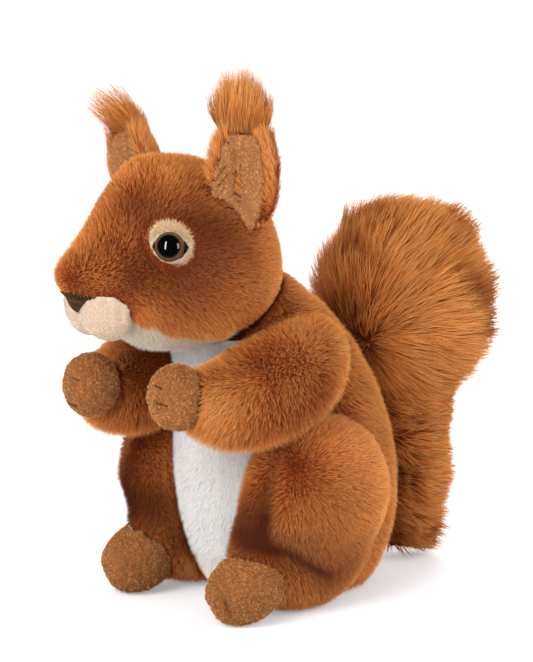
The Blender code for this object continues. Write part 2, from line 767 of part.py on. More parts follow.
def main():
    for old in list(bpy.data.objects):
        bpy.data.objects.remove(old)

    head_pose = add_empty("head_pose", (0, -HEAD_FORWARD, HEAD_HEIGHT), (0, 0, -HEAD_YAW))
    torso = make_torso()
    head, surface = make_head(head_pose)
    belly = inlay("belly_panel", torso, belly_bar, BELLY_DEPTH, WHITE_PLUSH)
    for piece in (torso, belly):
        seat_on(piece, head)
    inlay("chin_panel", head, chin_bar, CHIN_DEPTH, CREAM_PLUSH)

    legs = []
    for side in (1, -1):
        pad = make_muzzle(head_pose, side)
        seat_on(pad, head)
        make_eye(head_pose, head, surface, side)
        make_ear(head_pose, head, side)
        arm = make_arm(torso, head, side)
        leg = make_leg(torso, arm, side)
        make_foot(torso, leg, side)
        legs.append(leg)
    make_tail(torso, legs)


main()
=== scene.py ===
# %% [markdown]
# # A plush squirrel
# The real toy is sewn from five cloths: a dense two-tone rust plush, a long-haired one for the
# tail and the ear tips, a white one for the belly, a cream one under the chin, and a nubby tan
# one for the paws, feet and ear linings. Each stuffed part could be one smooth solid with a fur
# picture on it, but that goes flat at the outline. Here every part is a stuffed cloth with real
# strands of pile growing out of it, so the outline is furry from every side.

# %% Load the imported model
import math

import bmesh
import bpy
import numpy as np
from mathutils import Matrix, Vector, noise
from mathutils.bvhtree import BVHTree


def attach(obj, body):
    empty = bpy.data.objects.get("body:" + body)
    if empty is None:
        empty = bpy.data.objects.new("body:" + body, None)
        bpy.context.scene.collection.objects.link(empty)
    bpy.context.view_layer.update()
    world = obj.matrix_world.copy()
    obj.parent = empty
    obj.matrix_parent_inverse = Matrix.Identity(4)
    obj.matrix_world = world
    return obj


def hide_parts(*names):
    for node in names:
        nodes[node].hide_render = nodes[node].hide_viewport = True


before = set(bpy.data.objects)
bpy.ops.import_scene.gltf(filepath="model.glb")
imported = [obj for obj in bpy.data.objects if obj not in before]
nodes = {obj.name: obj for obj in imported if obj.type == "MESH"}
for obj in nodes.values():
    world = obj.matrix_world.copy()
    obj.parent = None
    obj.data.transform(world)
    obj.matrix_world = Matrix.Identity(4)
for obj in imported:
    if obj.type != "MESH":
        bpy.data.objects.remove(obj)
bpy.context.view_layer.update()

scene = bpy.context.scene

# %% [markdown]
# ## Camera
# The photograph looks at the squirrel from its left front and a little above. A long lens from
# over a metre away keeps the near paw from looking bigger than the far one. The lens follows
# from how many millimetres one pixel of the photograph covers at the squirrel.

# %% Camera
CAMERA_AZIMUTH = math.radians(48.5)
CAMERA_ELEVATION = math.radians(9)
CAMERA_DISTANCE = 1.15
CAMERA_AIM = Vector((0, -0.0194, 0.1217))
PHOTO_HEIGHT = 662
PIXEL_SIZE = 0.00046

camera_data = bpy.data.cameras.new("camera")
camera_data.sensor_width = 36
half_view = PHOTO_HEIGHT / 2 * PIXEL_SIZE / CAMERA_DISTANCE
camera_data.lens = camera_data.sensor_width / 2 / half_view
camera = bpy.data.objects.new("camera", camera_data)
scene.collection.objects.link(camera)
back = Vector((
    math.sin(CAMERA_AZIMUTH) * math.cos(CAMERA_ELEVATION),
    -math.cos(CAMERA_AZIMUTH) * math.cos(CAMERA_ELEVATION),
    math.sin(CAMERA_ELEVATION),
))
camera.location = CAMERA_AIM + back * CAMERA_DISTANCE
camera.rotation_euler = (-back).to_track_quat("-Z", "Y").to_euler()
scene.camera = camera
print("lens", round(camera_data.lens, 1), "mm")

# %% [markdown]
# ## Node helpers
# Materials and the pile's growth are both node trees. Wiring them by hand in the editor is the
# usual way; in a script one small helper adds a node, sets it up and fills its sockets, either
# with plain values or with the outputs of other nodes.


# %% Node helpers
def put(tree, kind, sockets=None, **settings):
    """Adds a node, fills its sockets and returns its outputs."""
    made = tree.nodes.new(kind)
    for name, value in settings.items():
        setattr(made, name, value)
    for key, value in (sockets or {}).items():
        if isinstance(value, bpy.types.NodeSocket):
            tree.links.new(value, made.inputs[key])
        else:
            made.inputs[key].default_value = value
    return made.outputs


def sums(tree, operation, *values):
    """One step of arithmetic on numbers."""
    return put(tree, "ShaderNodeMath", dict(enumerate(values)), operation=operation)[0]


def vectors(tree, operation, *values):
    """One step of arithmetic on vectors."""
    return put(tree, "ShaderNodeVectorMath", dict(enumerate(values)), operation=operation)[0]


def stretched(tree, vector, amount):
    """The vector made longer or shorter by a number."""
    return put(tree, "ShaderNodeVectorMath", {0: vector, "Scale": amount}, operation="SCALE")[0]


def srgb(red, green, blue):
    """A colour as a paint program shows it, 0 to 255, in the linear numbers that Blender mixes."""
    shares = [c / 255 for c in (red, green, blue)]
    linear = [c / 12.92 if c <= 0.04045 else ((c + 0.055) / 1.055) ** 2.4 for c in shares]
    return (*linear, 1)


# %% [markdown]
# ## Floor and background
# The toy stands on plain pale paper that runs out of view behind it. The paper is a big plane
# with a soft mottle. To make it read as white without pouring more light on the squirrel, it
# adds a little of its own glow, but only to what the camera sees, so the soft shadow under the
# toy stays and the eyes stay dark.

# %% Floor and background
FLOOR_HALF_SIZE = 20
PAPER = srgb(236, 236, 236)
PAPER_FLECK = srgb(240, 240, 239)
GLOW_STARTS = 0.15
GLOW_FULL = 0.90
NEAR_GLOW = 0.30
FAR_GLOW = 0.75

floor_form = bmesh.new()
bmesh.ops.create_grid(floor_form, x_segments=1, y_segments=1, size=FLOOR_HALF_SIZE)
floor_mesh = bpy.data.meshes.new("floor")
floor_form.to_mesh(floor_mesh)
floor_form.free()
floor = bpy.data.objects.new("floor", floor_mesh)
scene.collection.objects.link(floor)
floor.visible_glossy = False

paper = bpy.data.materials.new("pale_paper")
paper.use_nodes = True
tree = paper.node_tree
tree.nodes.clear()
mottle = put(tree, "ShaderNodeTexNoise", {"Scale": 60.0, "Detail": 3.0})[0]
tint = put(tree, "ShaderNodeMix", {0: mottle, 6: PAPER, 7: PAPER_FLECK}, data_type="RGBA")[2]
lit = put(tree, "ShaderNodeBsdfDiffuse", {"Color": tint})[0]
where = put(tree, "ShaderNodeTexCoord")["Object"]
away = put(tree, "ShaderNodeVectorMath", {0: where}, operation="LENGTH")["Value"]
sockets = {0: away, 1: GLOW_STARTS, 2: GLOW_FULL, 3: NEAR_GLOW, 4: FAR_GLOW}
strength = put(tree, "ShaderNodeMapRange", sockets, interpolation_type="SMOOTHSTEP")[0]
glow = put(tree, "ShaderNodeEmission", {"Strength": strength})[0]
path = put(tree, "ShaderNodeLightPath")
seen = sums(tree, "MAXIMUM", path["Is Camera Ray"], path["Is Transmission Ray"])
nothing = put(tree, "ShaderNodeEmission", {"Strength": 0.0})[0]
shown_glow = put(tree, "ShaderNodeMixShader", {0: seen, 1: nothing, 2: glow})[0]
both = put(tree, "ShaderNodeAddShader", {0: lit, 1: shown_glow})[0]
put(tree, "ShaderNodeOutputMaterial", {"Surface": both})
floor_mesh.materials.append(paper)
print("floor", 2 * FLOOR_HALF_SIZE, "m wide")

# %% [markdown]
# ## Lights
# The photograph has the even light of a product studio: a big soft lamp at the front left, a
# tall strip that draws the upright streak in the eye, a weaker lamp at the right, and pale
# surroundings. The lamps sit around the camera's own direction, and their strength is set so
# that a colour renders about as it is written.

# %% Lights
WORLD_STRENGTH = 0.68
LAMPS = (
    # name, degrees round from the camera, height, distance, width, tall, watts, seen in gloss
    ("front_left", -42, 0.95, 1.30, 0.80, 0.80, 15.5, False),
    ("strip", -27, 0.46, 1.10, 0.13, 0.75, 3.4, True),
    ("right", 46, 0.45, 1.40, 0.40, 0.70, 3.0, True),
    ("right_fill", 66, 0.80, 1.40, 0.70, 0.90, 8.0, False),
    ("rim", 165, 1.10, 1.10, 0.80, 0.50, 10.0, False),
)

world = bpy.data.worlds.new("studio")
world.use_nodes = True
scene.world = world
world.node_tree.nodes["Background"].inputs["Color"].default_value = srgb(250, 250, 252)
world.node_tree.nodes["Background"].inputs["Strength"].default_value = WORLD_STRENGTH
world.cycles_visibility.glossy = False
for name, round_from_camera, height, distance, width, tall, watts, in_gloss in LAMPS:
    lamp_data = bpy.data.lights.new(name, "AREA")
    lamp_data.shape = "RECTANGLE"
    lamp_data.size = width
    lamp_data.size_y = tall
    lamp_data.energy = watts
    lamp = bpy.data.objects.new(name, lamp_data)
    lamp.visible_glossy = in_gloss
    scene.collection.objects.link(lamp)
    turn = CAMERA_AZIMUTH + math.radians(round_from_camera)
    lamp.location = Vector((math.sin(turn) * distance, -math.cos(turn) * distance, height))
    lamp.rotation_euler = (CAMERA_AIM - lamp.location).to_track_quat("-Z", "Y").to_euler()
scene.view_settings.view_transform = "Standard"
print(len(LAMPS), "lamps")

# %% [markdown]
# ## The stuffed cloth
# Under the pile each part is a cloth skin filled with wadding. It could be drawn from nothing,
# but the CAD solid already has the pattern's shape, so the skin is a copy of it: merged,
# remeshed into even squares, smoothed as taut knit cloth is, and sunk by the depth of the pile,
# because the CAD's surface is where the tips of the hair end.


# %% The stuffed cloth
SEAM_REACH = 0.005


def settled(thing, name):
    """A new object that holds what the modifiers of this one make."""
    graph = bpy.context.evaluated_depsgraph_get()
    mesh = bpy.data.meshes.new_from_object(thing.evaluated_get(graph))
    spent = thing.data
    bpy.data.objects.remove(thing)
    if isinstance(spent, bpy.types.Mesh):
        bpy.data.meshes.remove(spent)
    mesh.name = name
    made = bpy.data.objects.new(name, mesh)
    scene.collection.objects.link(made)
    return made


def merged_copy(node, name, also=()):
    """A copy of one or more CAD solids with their loose triangles joined, as a new object."""
    form = bmesh.new()
    for solid in (node, *also):
        form.from_mesh(nodes[solid].data)
    bmesh.ops.remove_doubles(form, verts=form.verts, dist=1e-6)
    mesh = bpy.data.meshes.new(name)
    form.to_mesh(mesh)
    form.free()
    made = bpy.data.objects.new(name, mesh)
    scene.collection.objects.link(made)
    return made


def points_of(skin):
    """The skin's points and their normals, as two arrays."""
    count = len(skin.data.vertices)
    places = np.zeros(count * 3)
    normals = np.zeros(count * 3)
    skin.data.vertices.foreach_get("co", places)
    skin.data.vertices.foreach_get("normal", normals)
    return places.reshape(-1, 3), normals.reshape(-1, 3)


def place_points(skin, places):
    """Puts the skin's points at these places."""
    skin.data.vertices.foreach_set("co", places.astype(np.float32).ravel())
    skin.data.update()


def surface_of(*names):
    """A search tree over some of the CAD solids."""
    form = bmesh.new()
    for node in names:
        form.from_mesh(nodes[node].data)
    tree = BVHTree.FromBMesh(form)
    form.free()
    return tree


def neighbours_of(node):
    """A search tree over all the CAD solids but one."""
    return surface_of(*[other for other in nodes if other != node])


def cloth_of(node, name, square, depth, smooth=4, seam_depth=1.0, also=()):
    """The cloth skin of a part: even squares, smoothed, and sunk by the pile's depth.

    Solids named in also are closed in with it, as when a lining lies in a hollow of the part.
    depth is one number, or a function that gives the depth at each place. Along the seams with
    other parts only the share seam_depth of it is used, so that no gap opens there. The depth
    at each point is kept on the skin as "room".
    """
    skin = merged_copy(node, name, also)
    remesh = skin.modifiers.new("squares", "REMESH")
    remesh.mode = "VOXEL"
    remesh.voxel_size = square
    remesh.use_smooth_shade = True
    ease = skin.modifiers.new("taut", "SMOOTH")
    ease.factor = 0.5
    ease.iterations = smooth
    skin = settled(skin, name)
    places, normals = points_of(skin)
    sunk = depth(places) if callable(depth) else np.full(len(places), depth)
    if seam_depth < 1:
        others = neighbours_of(node)
        near = np.zeros(len(places))
        for i, place in enumerate(places):
            found = others.find_nearest(Vector(place), SEAM_REACH)[3]
            near[i] = 0 if found is None else 1 - found / SEAM_REACH
        sunk = sunk * (1 - (1 - seam_depth) * near)
    place_points(skin, places - normals * sunk[:, None])
    room = skin.data.attributes.new("room", "FLOAT", "POINT")
    room.data.foreach_set("value", sunk.astype(np.float32))
    return skin


def room_of(skin):
    """How deep under the solid's surface each point of a skin was sunk."""
    room = np.zeros(len(skin.data.vertices))
    skin.data.attributes["room"].data.foreach_get("value", room)
    return room


# %% [markdown]
# ## Wadding
# The seams of a stuffed toy hold the cloth in, and the wadding pushes it out between them. That
# could be modelled by hand, but blowing the cloth up in a simulation does it the way the real
# toy does: each skin gets a little inner pressure, is held still along its seams with the other
# parts, and is let go for twenty frames. No point may move further than a small cap, so the
# squirrel keeps its pattern.

# %% Wadding
WADDING_PRESSURE = 4.0
WADDING_FRAMES = 20


def stuff(skin, node, cap):
    """Blows a skin up between its seams by cloth simulation and adds the pillowed shape to it."""
    before, _ = points_of(skin)
    others = neighbours_of(node)
    held = skin.vertex_groups.new(name="held")
    for i, place in enumerate(before):
        if others.find_nearest(Vector(place), SEAM_REACH)[0] is not None:
            held.add([i], 1.0, "REPLACE")
    wadding = skin.modifiers.new("wadding", "CLOTH")
    wadding.settings.quality = 5
    wadding.settings.use_pressure = True
    wadding.settings.uniform_pressure_force = WADDING_PRESSURE
    wadding.settings.vertex_group_mass = "held"
    wadding.settings.effector_weights.gravity = 0
    wadding.point_cache.frame_start = 1
    wadding.point_cache.frame_end = WADDING_FRAMES
    for frame_number in range(1, WADDING_FRAMES + 1):
        scene.frame_set(frame_number)
    graph = bpy.context.evaluated_depsgraph_get()
    blown = skin.evaluated_get(graph).data
    after = np.zeros(len(before) * 3)
    blown.vertices.foreach_get("co", after)
    skin.modifiers.remove(wadding)
    skin.vertex_groups.remove(held)
    move = after.reshape(-1, 3) - before
    length = np.linalg.norm(move, axis=1, keepdims=True)
    move *= np.minimum(1, cap / np.maximum(length, 1e-9))
    place_points(skin, before + move)
    scene.frame_set(1)
    print(skin.name, "swelled by up to", round(float(length.max()) * 1000, 1), "mm before its cap")


# %% [markdown]
# ## Where pile can stand
# Pile that would grow under a sewn-on neighbour is left out: on the toy it is caught in the
# seam or pressed flat. Each point of a skin sends a short ray outwards, and where it meets
# another solid the pile's density there is nought.


# %% Where pile can stand
def open_to_air(skin, node, depth, others=None):
    """1 where nothing lies on the skin, 0 where another part covers it."""
    others = others or neighbours_of(node)
    places, normals = points_of(skin)
    clear = np.ones(len(places))
    for i, (place, normal) in enumerate(zip(places, normals)):
        if others.ray_cast(Vector(place), Vector(normal), depth)[0] is not None:
            clear[i] = 0
    return clear


# %% [markdown]
# ## One strand
# A strand is a narrow blade, a unit long, that is scaled to length when it is planted. It
# starts as a strip of grid, its end is drawn in to a point, and long hair is bowed so that it
# leaves the cloth steeply and lies over. One face is enough for a strand of short pile, which
# leaves room for hundreds of thousands of them, and long hair has two. Each point remembers
# how far along the strand it is, and the strand's material reads that.


# %% One strand
# How much of its own cell of the UV map is left free beside a blade and at its two ends
CELL_MARGIN = (0.08, 0.05)


def strand(name, steps, bow, taper):
    """A blade from 0 to 1 along X, bowed towards +Z, one unit wide along Y at its root."""
    form = bmesh.new()
    bmesh.ops.create_grid(form, x_segments=steps, y_segments=1, size=0.5)
    bmesh.ops.translate(form, verts=form.verts, vec=(0.5, 0, 0))
    along_layer = form.verts.layers.float.new("along")
    blade_layer = form.verts.layers.float_vector.new("blade")
    beside, ends = CELL_MARGIN
    for point in form.verts:
        along = point.co.x
        point[along_layer] = along
        wide = beside + (1 - 2 * beside) * (point.co.y + 0.5)
        point[blade_layer] = (wide, ends + (1 - 2 * ends) * along, 0)
        point.co.y *= 1 - along**taper
        point.co.z = bow * 4 * along * (1 - along)
    tips = [point for point in form.verts if point[along_layer] > 0.999]
    bmesh.ops.pointmerge(form, verts=tips, merge_co=(1, 0, 0))
    mesh = bpy.data.meshes.new(name)
    form.to_mesh(mesh)
    form.free()
    return bpy.data.objects.new(name, mesh)


short_strand = strand("short_strand", steps=1, bow=0.0, taper=1.6)
long_strand = strand("long_strand", steps=2, bow=0.12, taper=2.0)
print("long strand of", len(long_strand.data.polygons), "faces")

# %% [markdown]
# ## Growing the pile
# Hundreds of thousands of strands could be hair particles, but those are lost when the toy is
# exported. A geometry node tree plants real blades instead: it scatters points on the cloth,
# turns a strand at each along the lie of the pile, gathers neighbours towards the middle of
# their lock, and adds a little waywardness. Each strand keeps a tone, partly its own and partly
# its lock's, the way its cloth faces, and its own cell of a UV map for baking.


# %% Growing the pile
FLOOR_GAP = 0.0004
WAVE_SCALE = 45.0
ROLL = 0.7
LONGEST = 1.12


def pile_tree():
    """The node group that turns a combed cloth into its pile."""
    tree = bpy.data.node_groups.new("grow_pile", "GeometryNodeTree")
    given = (
        ("Cloth", "NodeSocketGeometry"),
        ("Strand", "NodeSocketObject"),
        ("Density", "NodeSocketFloat"),
        ("Width", "NodeSocketFloat"),
        ("Lock size", "NodeSocketFloat"),
        ("Lock pull", "NodeSocketFloat"),
        ("Lock tone", "NodeSocketFloat"),
        ("Wave", "NodeSocketFloat"),
        ("Stray", "NodeSocketFloat"),
        ("Shortest", "NodeSocketFloat"),
        ("Seed", "NodeSocketInt"),
    )
    for name, kind in given:
        tree.interface.new_socket(name=name, in_out="INPUT", socket_type=kind)
    tree.interface.new_socket(name="Pile", in_out="OUTPUT", socket_type="NodeSocketGeometry")
    told = put(tree, "NodeGroupInput")

    def named(name, data_type="FLOAT"):
        return put(tree, "GeometryNodeInputNamedAttribute", {0: name}, data_type=data_type)[0]

    def chance(low, high, salt):
        sockets = {2: low, 3: high, "Seed": sums(tree, "ADD", told["Seed"], salt)}
        return put(tree, "FunctionNodeRandomValue", sockets, data_type="FLOAT")[1]

    def keep(geometry, name, value, data_type, domain):
        sockets = {0: geometry, "Name": name, "Value": value}
        kind = "GeometryNodeStoreNamedAttribute"
        return put(tree, kind, sockets, data_type=data_type, domain=domain)[0]

    density = sums(tree, "MULTIPLY", told["Density"], named("stand"))
    sockets = {0: told["Cloth"], "Density": density, "Seed": told["Seed"]}
    points, normal, _ = put(tree, "GeometryNodeDistributePointsOnFaces", sockets)[:]

    place = put(tree, "GeometryNodeInputPosition")[0]
    reach = named("reach")
    chord = stretched(tree, named("aim", "FLOAT_VECTOR"), reach)
    cells = sums(tree, "DIVIDE", 1.0, told["Lock size"])
    middle = put(tree, "ShaderNodeTexVoronoi", {"Vector": place, "Scale": cells})["Position"]
    gather = stretched(tree, vectors(tree, "SUBTRACT", middle, place), told["Lock pull"])
    drift = put(tree, "ShaderNodeTexNoise", {"Vector": place, "Scale": WAVE_SCALE, "Detail": 1.0})[1]
    drift = vectors(tree, "SUBTRACT", drift, (0.5, 0.5, 0.5))
    drift = stretched(tree, drift, sums(tree, "MULTIPLY", told["Wave"], reach))
    sockets = {0: (-1.0, -1.0, -1.0), 1: (1.0, 1.0, 1.0), "Seed": told["Seed"]}
    stray = put(tree, "FunctionNodeRandomValue", sockets, data_type="FLOAT_VECTOR")[0]
    stray = stretched(tree, stray, sums(tree, "MULTIPLY", told["Stray"], reach))
    heading = vectors(tree, "ADD", vectors(tree, "ADD", chord, gather), drift)
    heading = vectors(tree, "ADD", heading, stray)

    sockets = {0: heading, 1: normal}
    turn = put(
        tree, "FunctionNodeAxesToRotation", sockets, primary_axis="X", secondary_axis="Z"
    )[0]
    sockets = {0: (1.0, 0.0, 0.0), "Angle": chance(-ROLL, ROLL, 11)}
    roll = put(tree, "FunctionNodeAxisAngleToRotation", sockets)[0]
    turn = put(tree, "FunctionNodeRotateRotation", {0: turn, 1: roll}, rotation_space="LOCAL")[0]
    length = sums(tree, "MULTIPLY", reach, chance(told["Shortest"], LONGEST, 23))
    size = put(tree, "ShaderNodeCombineXYZ", {0: length, 1: told["Width"], 2: length})[0]

    blade = put(tree, "GeometryNodeObjectInfo", {"Object": told["Strand"]})["Geometry"]
    sockets = {"Points": points, "Instance": blade, "Rotation": turn, "Scale": size}
    planted = put(tree, "GeometryNodeInstanceOnPoints", sockets)[0]
    own = chance(0.0, 1.0, 37)
    lock = put(tree, "ShaderNodeTexWhiteNoise", {"Vector": middle}, noise_dimensions="3D")["Value"]
    tone = put(tree, "ShaderNodeMix", {0: told["Lock tone"], 2: own, 3: lock})[0]
    planted = keep(planted, "tone", tone, "FLOAT", "INSTANCE")
    planted = keep(planted, "soft", normal, "FLOAT_VECTOR", "INSTANCE")
    counted = put(
        tree, "GeometryNodeAttributeDomainSize", {0: points}, component="POINTCLOUD"
    )["Point Count"]
    row = sums(tree, "CEIL", sums(tree, "SQRT", counted))
    number = put(tree, "GeometryNodeInputIndex")[0]
    column = sums(tree, "FLOORED_MODULO", number, row)
    line = sums(tree, "FLOOR", sums(tree, "DIVIDE", number, row))
    cell = put(tree, "ShaderNodeCombineXYZ", {0: column, 1: line, 2: row})[0]
    planted = keep(planted, "cell", cell, "FLOAT_VECTOR", "INSTANCE")
    real = put(tree, "GeometryNodeRealizeInstances", {0: planted})[0]
    cell = named("cell", "FLOAT_VECTOR")
    share = vectors(tree, "ADD", cell, named("blade", "FLOAT_VECTOR"))
    wide = put(tree, "ShaderNodeSeparateXYZ", {0: cell})[2]
    share = stretched(tree, share, sums(tree, "DIVIDE", 1.0, wide))
    real = keep(real, "OFBake", share, "FLOAT2", "CORNER")
    x, y, z = put(tree, "ShaderNodeSeparateXYZ", {0: place})[:]
    above_floor = sums(tree, "MAXIMUM", z, FLOOR_GAP)
    kept = put(tree, "ShaderNodeCombineXYZ", {0: x, 1: y, 2: above_floor})[0]
    real = put(tree, "GeometryNodeSetPosition", {0: real, "Position": kept})[0]
    put(tree, "NodeGroupOutput", {0: real})
    return tree


grow_pile = pile_tree()
triangles = {}


def grown(skin, name, blade, density, width, lock, pull, seed, **more):
    """The pile of a combed cloth, as a mesh piece of its own.

    density is strands to a square metre, width a strand's at its root, lock the size of the
    tufts that strands gather into, and pull how strongly they do.
    """
    holder = skin.copy()
    holder.data = skin.data.copy()
    scene.collection.objects.link(holder)
    grower = holder.modifiers.new("pile", "NODES")
    grower.node_group = grow_pile
    values = {
        "Strand": blade,
        "Density": density,
        "Width": width,
        "Lock size": lock,
        "Lock pull": pull,
        "Lock tone": more.get("lock_tone", 0.4),
        "Wave": more.get("wave", 0.6),
        "Stray": more.get("stray", 0.2),
        "Shortest": more.get("shortest", 0.75),
        "Seed": seed,
    }
    for socket in grow_pile.interface.items_tree:
        if socket.name in values:
            grower[socket.identifier] = values[socket.name]
    pile = settled(holder, name)
    pile.data.materials.clear()
    spare = [a.name for a in pile.data.attributes if a.name in ("cell", "blade", "aim", "stand")]
    for attribute in spare:
        pile.data.attributes.remove(pile.data.attributes[attribute])
    pile.data.calc_loop_triangles()
    triangles[name] = len(pile.data.loop_triangles)
    print(name, triangles[name], "triangles")
    return pile


# %% [markdown]
# ## Combing the cloth
# Pile lies the way the cloth was cut: backwards from the nose, down the body, out along the
# tail. Each point of a skin gets the heading of its strands, their length and how thickly they
# stand. The heading is the lie along the cloth plus a lift away from it, so where the lie runs
# straight out of the surface, as at the tail's rim, the strands stand up and fan out. A few
# soft spots make the coat darker or paler: some are its own tone, others are painted shade in
# folds, low down and between parts, and painted light on shoulders, backs and rims. A line can
# be drawn in or swelled out for a stitched fold or a jowl.


# %% Combing the cloth
def unit(rows):
    """The rows of an array made one long, with rows of nothing left alone."""
    size = np.linalg.norm(rows, axis=1, keepdims=True)
    return rows / np.maximum(size, 1e-9)


def eased(low, high, values):
    """0 up to low, 1 from high on, and a smooth step between, for an array."""
    share = np.clip((values - low) / (high - low), 0, 1)
    return share * share * (3 - 2 * share)


def shaded(places, spots):
    """How much darker each place is, or below nought paler, from a few soft round spots."""
    total = np.zeros(len(places))
    for spot, radius, amount in spots:
        away = np.linalg.norm(places - np.array(spot), axis=1) / radius
        total += amount * np.exp(-away * away)
    return total


def comb(skin, lie, lift, height, reach, stand, paint=0.0, flat=True):
    """Writes the pile's heading, length, density and painted shade onto the skin.

    height is how far the tips stand above the cloth, and reach the least and greatest length.
    The lie is turned to run flat along the cloth first, unless flat is false: then the hair runs
    as the lie says, and height is its length.
    """
    places, normals = points_of(skin)
    lie = np.broadcast_to(np.asarray(lie, float), places.shape)
    along = lie - normals * np.sum(lie * normals, axis=1, keepdims=True) if flat else lie
    aim = unit(along + normals * np.reshape(lift, (-1, 1)))
    rise = np.maximum(np.sum(aim * normals, axis=1), 0.05) if flat else 1.0
    values = {
        "reach": np.clip(height / rise, *reach),
        "stand": np.broadcast_to(np.asarray(stand, float), len(places)),
        "paint": np.broadcast_to(np.asarray(paint, float), len(places)),
    }
    layer = skin.data.attributes.new("aim", "FLOAT_VECTOR", "POINT")
    layer.data.foreach_set("vector", aim.astype(np.float32).ravel())
    for name, value in values.items():
        layer = skin.data.attributes.new(name, "FLOAT", "POINT")
        layer.data.foreach_set("value", value.astype(np.float32))


def pressed(skin, line, width, depth):
    """Draws the cloth in along a line, as a stitched fold does; a depth below nought swells it."""
    places, normals = points_of(skin)
    nearest = np.full(len(places), np.inf)
    for start, end in zip(line, line[1:]):
        start = np.array(start)
        step = np.array(end) - start
        share = np.clip((places - start) @ step / (step @ step), 0, 1)
        away = np.linalg.norm(places - start - share[:, None] * step, axis=1)
        nearest = np.minimum(nearest, away)
    closeness = np.exp(-((nearest / width) ** 2))
    place_points(skin, places - normals * (depth * closeness)[:, None])
    return closeness


# %% [markdown]
# ## The pile's dye, painted shade and painted light
# Two-tone plush is dyed darker at the root and paler at the tip, which is why the toy looks
# deep rust where hair is parted or pressed and sandy along its outline. The colour runs along
# each strand from root to tip, each strand is a little lighter or darker than the next, and
# broad soft patches keep the coat from looking even. A strand is lit mostly as the cloth under
# it is, because real hairs are round and far finer than these blades. Sheen stands for light
# that comes through the fine tips.
# Soft spots painted on the cloth darken a strand towards a deep colour, as painted shade, or pale it
# towards its tip colour, as painted light; in places they are the coat's own tone.


# %% The pile's dye, painted shade and painted light
def principled(name):
    """A new material, its node tree and its surface shader."""
    made = bpy.data.materials.new(name)
    made.use_nodes = True
    tree = made.node_tree
    shader = tree.nodes["Principled BSDF"]
    return made, tree, shader


UPWARD_BIAS = (0.0, 0.0, 0.25)
DEEP_RUST = srgb(90, 36, 12)
# Darker colours for painted shade in the gaps between curls and in the folds of the nubby cloths
NUB_GAP_SHADOW = srgb(64, 32, 15)
MUZZLE_GAP_SHADOW = srgb(150, 116, 90)
PATCH_EDGE = srgb(150, 72, 30)


def gaps_between_nubs(tree, where, size):
    """1 in the narrow gaps between rounded cells of this size and 0 inside them."""
    bend = put(tree, "ShaderNodeTexNoise", {"Vector": where, "Scale": 500.0, "Detail": 1.0})[1]
    bend = stretched(tree, vectors(tree, "SUBTRACT", bend, (0.5, 0.5, 0.5)), 0.5 * size)
    sockets = {"Vector": vectors(tree, "ADD", where, bend), "Scale": 1 / size}
    edge = put(tree, "ShaderNodeTexVoronoi", sockets, feature="DISTANCE_TO_EDGE")[0]
    sockets = {0: edge, 1: 0.03, 2: 0.27, 3: 1.0, 4: 0.0}
    return put(tree, "ShaderNodeMapRange", sockets, interpolation_type="SMOOTHSTEP")[0]


def pile_dye_and_shade(
    name, root, body, tip, sheen=0.3, spread=0.28, patch=0.18, deep=DEEP_RUST, own_light=0.8,
    nubs=None,
):
    """A pile's colour: dyed from root to tip, varied by strand and by patch, with painted shade and
    light.

    deep is the colour that painted shade goes to, and own_light how far a strand is lit as it
    lies itself. nubs is the size of the curls that short plush gathers into, and how strongly
    the gaps between them are darkened, as painted shade.
    """
    made, tree, shader = principled(name)
    along = put(tree, "ShaderNodeAttribute", attribute_name="along")["Fac"]
    ramp = put(tree, "ShaderNodeValToRGB", {0: along})
    stops = ramp[0].node.color_ramp.elements
    stops[0].position = 0.05
    stops[0].color = root
    stops[1].position = 0.90
    stops[1].color = tip
    middle = stops.new(0.50)
    middle.color = body
    where = put(tree, "ShaderNodeTexCoord")["Object"]
    sockets = {"Vector": where, "Scale": 42.0, "Detail": 3.0, "Roughness": 0.6}
    patches = put(tree, "ShaderNodeTexNoise", sockets)[0]
    tone = put(tree, "ShaderNodeAttribute", attribute_name="tone")["Fac"]
    tone = sums(tree, "MULTIPLY_ADD", tone, spread, 1 - spread / 2)
    patches = sums(tree, "MULTIPLY_ADD", patches, 2 * patch, 1 - patch)
    bright = sums(tree, "MULTIPLY", tone, patches)
    coat = put(tree, "ShaderNodeHueSaturation", {"Value": bright, "Color": ramp[0]})[0]
    painted = put(tree, "ShaderNodeAttribute", attribute_name="paint")["Fac"]
    # The gaps between the curls are darkened towards deep: painted shade
    if nubs:
        size, strength = nubs
        gaps = sums(tree, "MULTIPLY", gaps_between_nubs(tree, where, size), strength)
        painted = sums(tree, "MAXIMUM", painted, gaps)
    # Paint above nought darkens the strand towards deep, painted shade; below nought it pales
    # towards the tip, painted light
    sockets = {0: painted, 6: coat, 7: deep}
    dark = put(tree, "ShaderNodeMix", sockets, data_type="RGBA")[2]
    pale = sums(tree, "MULTIPLY", painted, -1.0)
    final = put(tree, "ShaderNodeMix", {0: pale, 6: dark, 7: tip}, data_type="RGBA")[2]
    tree.links.new(final, shader.inputs["Base Color"])
    rough = sums(tree, "MULTIPLY_ADD", along, -0.12, 0.80)
    tree.links.new(rough, shader.inputs["Roughness"])
    soft = put(tree, "ShaderNodeAttribute", attribute_name="soft")["Vector"]
    own = stretched(tree, put(tree, "ShaderNodeNewGeometry")["Normal"], own_light)
    facing = vectors(tree, "ADD", vectors(tree, "ADD", soft, own), UPWARD_BIAS)
    facing = vectors(tree, "NORMALIZE", facing)
    tree.links.new(facing, shader.inputs["Normal"])
    made.cycles.use_bump_map_correction = False
    shader.inputs["Specular IOR Level"].default_value = 0.20
    shader.inputs["Sheen Weight"].default_value = sheen
    shader.inputs["Sheen Roughness"].default_value = 0.40
    shader.inputs["Sheen Tint"].default_value = tip
    return made


